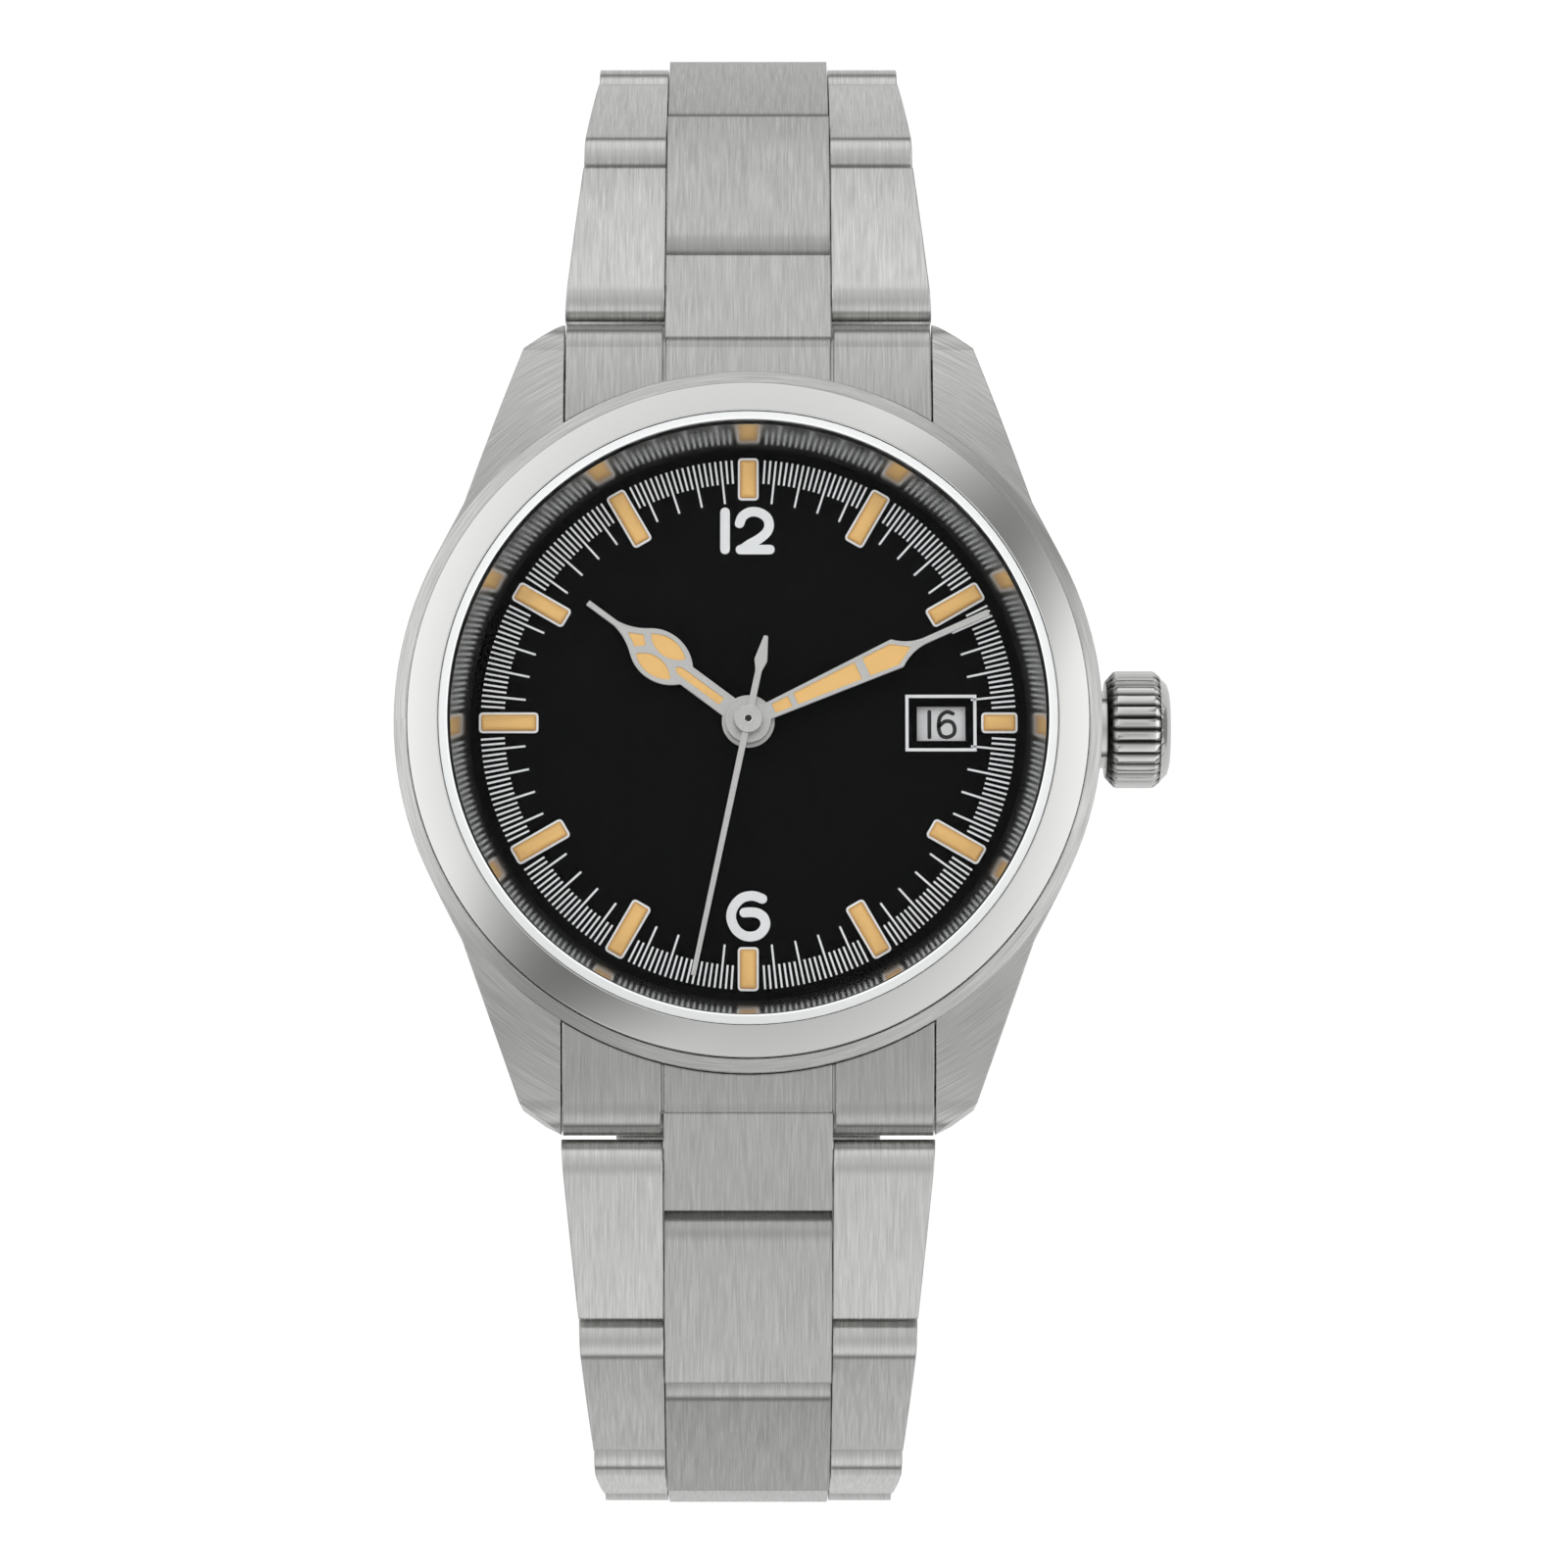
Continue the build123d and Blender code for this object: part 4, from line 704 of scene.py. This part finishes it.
seen = add(tree, "ShaderNodeMath", {0: paths["Is Camera Ray"], 1: paths["Is Transmission Ray"]},
           operation="MAXIMUM").outputs[0]
seen = add(tree, "ShaderNodeMath", {0: paths["Is Glossy Ray"], 1: METAL_SHARE, 2: seen},
           operation="MULTIPLY_ADD").outputs[0]
share = add(tree, "ShaderNodeMath", {0: seen, 1: GLOW_SHARE}, operation="MULTIPLY")
paper = add(tree, "ShaderNodeBsdfPrincipled", {"Base Color": linear(FLOOR_WHITE), "Roughness": 0.9})
glow = add(tree, "ShaderNodeEmission", {"Color": (1, 1, 1, 1), "Strength": FLOOR_GLOW})
seal(tree, add(tree, "ShaderNodeMixShader", {"Fac": share.outputs[0], 1: paper.outputs[0],
                                             2: glow.outputs[0]}))
mesh.materials.append(material)

# Studio light: a white tent round the watch, brightest left and right, dim where
# the camera looks in, dark along the ground and behind two black cards that stand
# across one diagonal. Three soft boxes outside it light what is painted.
TENT_TOP_LIGHT = 0.48      # where the camera looks in
TENT_WALL_LIGHT = 0.50     # added a quarter turn away from there
TENT_SIDES_LIGHT = 0.60    # added at the left and right
GROUND_LIGHT, GROUND_TO = 0.15, 0.35    # share left at the ground, and how high it dims
CAMERA_TIP_DEG = 8.5
CARD_SHADE = 0.72          # of the light, in the middle of a card
CARD_IN, CARD_OUT = 0.40, 0.75          # where a card begins and is full
CARD_HALF = 0.50           # half of its width
world = bpy.data.worlds.new("studio_tent")
bpy.context.scene.world = world
world.use_nodes = True
tree = world.node_tree
tree.nodes.clear()
look = add(tree, "ShaderNodeTexCoord").outputs["Generated"]
way = add(tree, "ShaderNodeSeparateXYZ", {"Vector": look}).outputs
height = add(tree, "ShaderNodeMapRange", {
    "Value": way["Z"], "From Min": 0.0, "From Max": GROUND_TO, "To Min": GROUND_LIGHT, "To Max": 1.0},
    interpolation_type="SMOOTHSTEP").outputs[0]
tilt = math.radians(CAMERA_TIP_DEG)
lens_way = (0, -math.sin(tilt), math.cos(tilt))
aside = add(tree, "ShaderNodeVectorMath", {0: look, 1: lens_way}, operation="CROSS_PRODUCT").outputs[0]
aside = add(tree, "ShaderNodeVectorMath", {0: aside}, operation="LENGTH").outputs["Value"]
walls = add(tree, "ShaderNodeMath", {0: aside, 1: TENT_WALL_LIGHT, 2: TENT_TOP_LIGHT},
            operation="MULTIPLY_ADD").outputs[0]
sides = add(tree, "ShaderNodeMath", {0: way["X"], 1: way["X"]}, operation="MULTIPLY").outputs[0]
walls = add(tree, "ShaderNodeMath", {0: sides, 1: TENT_SIDES_LIGHT, 2: walls},
            operation="MULTIPLY_ADD").outputs[0]
diagonals = []
for operation in ("ADD", "SUBTRACT"):
    slant = add(tree, "ShaderNodeMath", {0: way["X"], 1: way["Y"]}, operation=operation).outputs[0]
    diagonals.append(add(tree, "ShaderNodeMath", {0: slant}, operation="ABSOLUTE").outputs[0])
along = add(tree, "ShaderNodeMapRange", {
    "Value": diagonals[0], "From Min": CARD_IN, "From Max": CARD_OUT},
    interpolation_type="SMOOTHSTEP").outputs[0]
beside = add(tree, "ShaderNodeMapRange", {
    "Value": diagonals[1], "From Min": 0.0, "From Max": CARD_HALF, "To Min": CARD_SHADE, "To Max": 0},
    interpolation_type="SMOOTHSTEP").outputs[0]
cards = add(tree, "ShaderNodeMath", {0: along, 1: beside}, operation="MULTIPLY").outputs[0]
cards = add(tree, "ShaderNodeMath", {0: 1, 1: cards}, operation="SUBTRACT").outputs[0]
walls = add(tree, "ShaderNodeMath", {0: walls, 1: cards}, operation="MULTIPLY").outputs[0]
room = add(tree, "ShaderNodeMath", {0: walls, 1: height}, operation="MULTIPLY").outputs[0]
seen = add(tree, "ShaderNodeLightPath").outputs["Is Camera Ray"]
strength = add(tree, "ShaderNodeMix", {"Factor": seen, "A": room, "B": 1.0}, data_type="FLOAT")
back = add(tree, "ShaderNodeBackground", {"Color": (1, 1, 1, 1), "Strength": strength.outputs[0]})
add(tree, "ShaderNodeOutputWorld", {"Surface": back.outputs[0]})


def soft_box(name, place, size, watts):
    """A rectangular lamp at a place, facing the watch."""
    lamp = bpy.data.lights.new(name, "AREA")
    lamp.shape = "RECTANGLE"
    lamp.size, lamp.size_y = size
    lamp.energy = watts
    holder = bpy.data.objects.new(name, lamp)
    holder.location = place
    holder.rotation_euler = (Vector((0, 0, 0)) - Vector(place)).to_track_quat("-Z", "Y").to_euler()
    holder.visible_glossy = False
    bpy.context.scene.collection.objects.link(holder)


soft_box("soft_box_beyond", place=(0, 0.50, 0.60), size=(0.9, 0.5), watts=1.5)
soft_box("soft_box_left", place=(-0.6, 0, 0.42), size=(0.7, 0.35), watts=0.8)
soft_box("soft_box_right", place=(0.6, 0, 0.42), size=(0.7, 0.35), watts=0.8)

# Camera: straight above the dial and tipped a little towards 6 o'clock, as the
# photograph was taken.
DISTANCE_MM = 300.0
LENS_MM, SENSOR_MM = 129.1, 36
SHIFT = (0.0228, -0.044)
CLIP = (0.01, 10)
camera = bpy.data.cameras.new("camera")
camera.lens, camera.sensor_width = LENS_MM, SENSOR_MM
camera.shift_x, camera.shift_y = SHIFT
camera.clip_start, camera.clip_end = CLIP
holder = bpy.data.objects.new("camera", camera)
holder.location = Vector((0, 0, bezel_z1 * MM)) + Vector(lens_way) * DISTANCE_MM * MM
holder.rotation_euler = (tilt, 0, 0)
bpy.context.scene.collection.objects.link(holder)
bpy.context.scene.camera = holder
bpy.context.scene.view_settings.view_transform = "Standard"
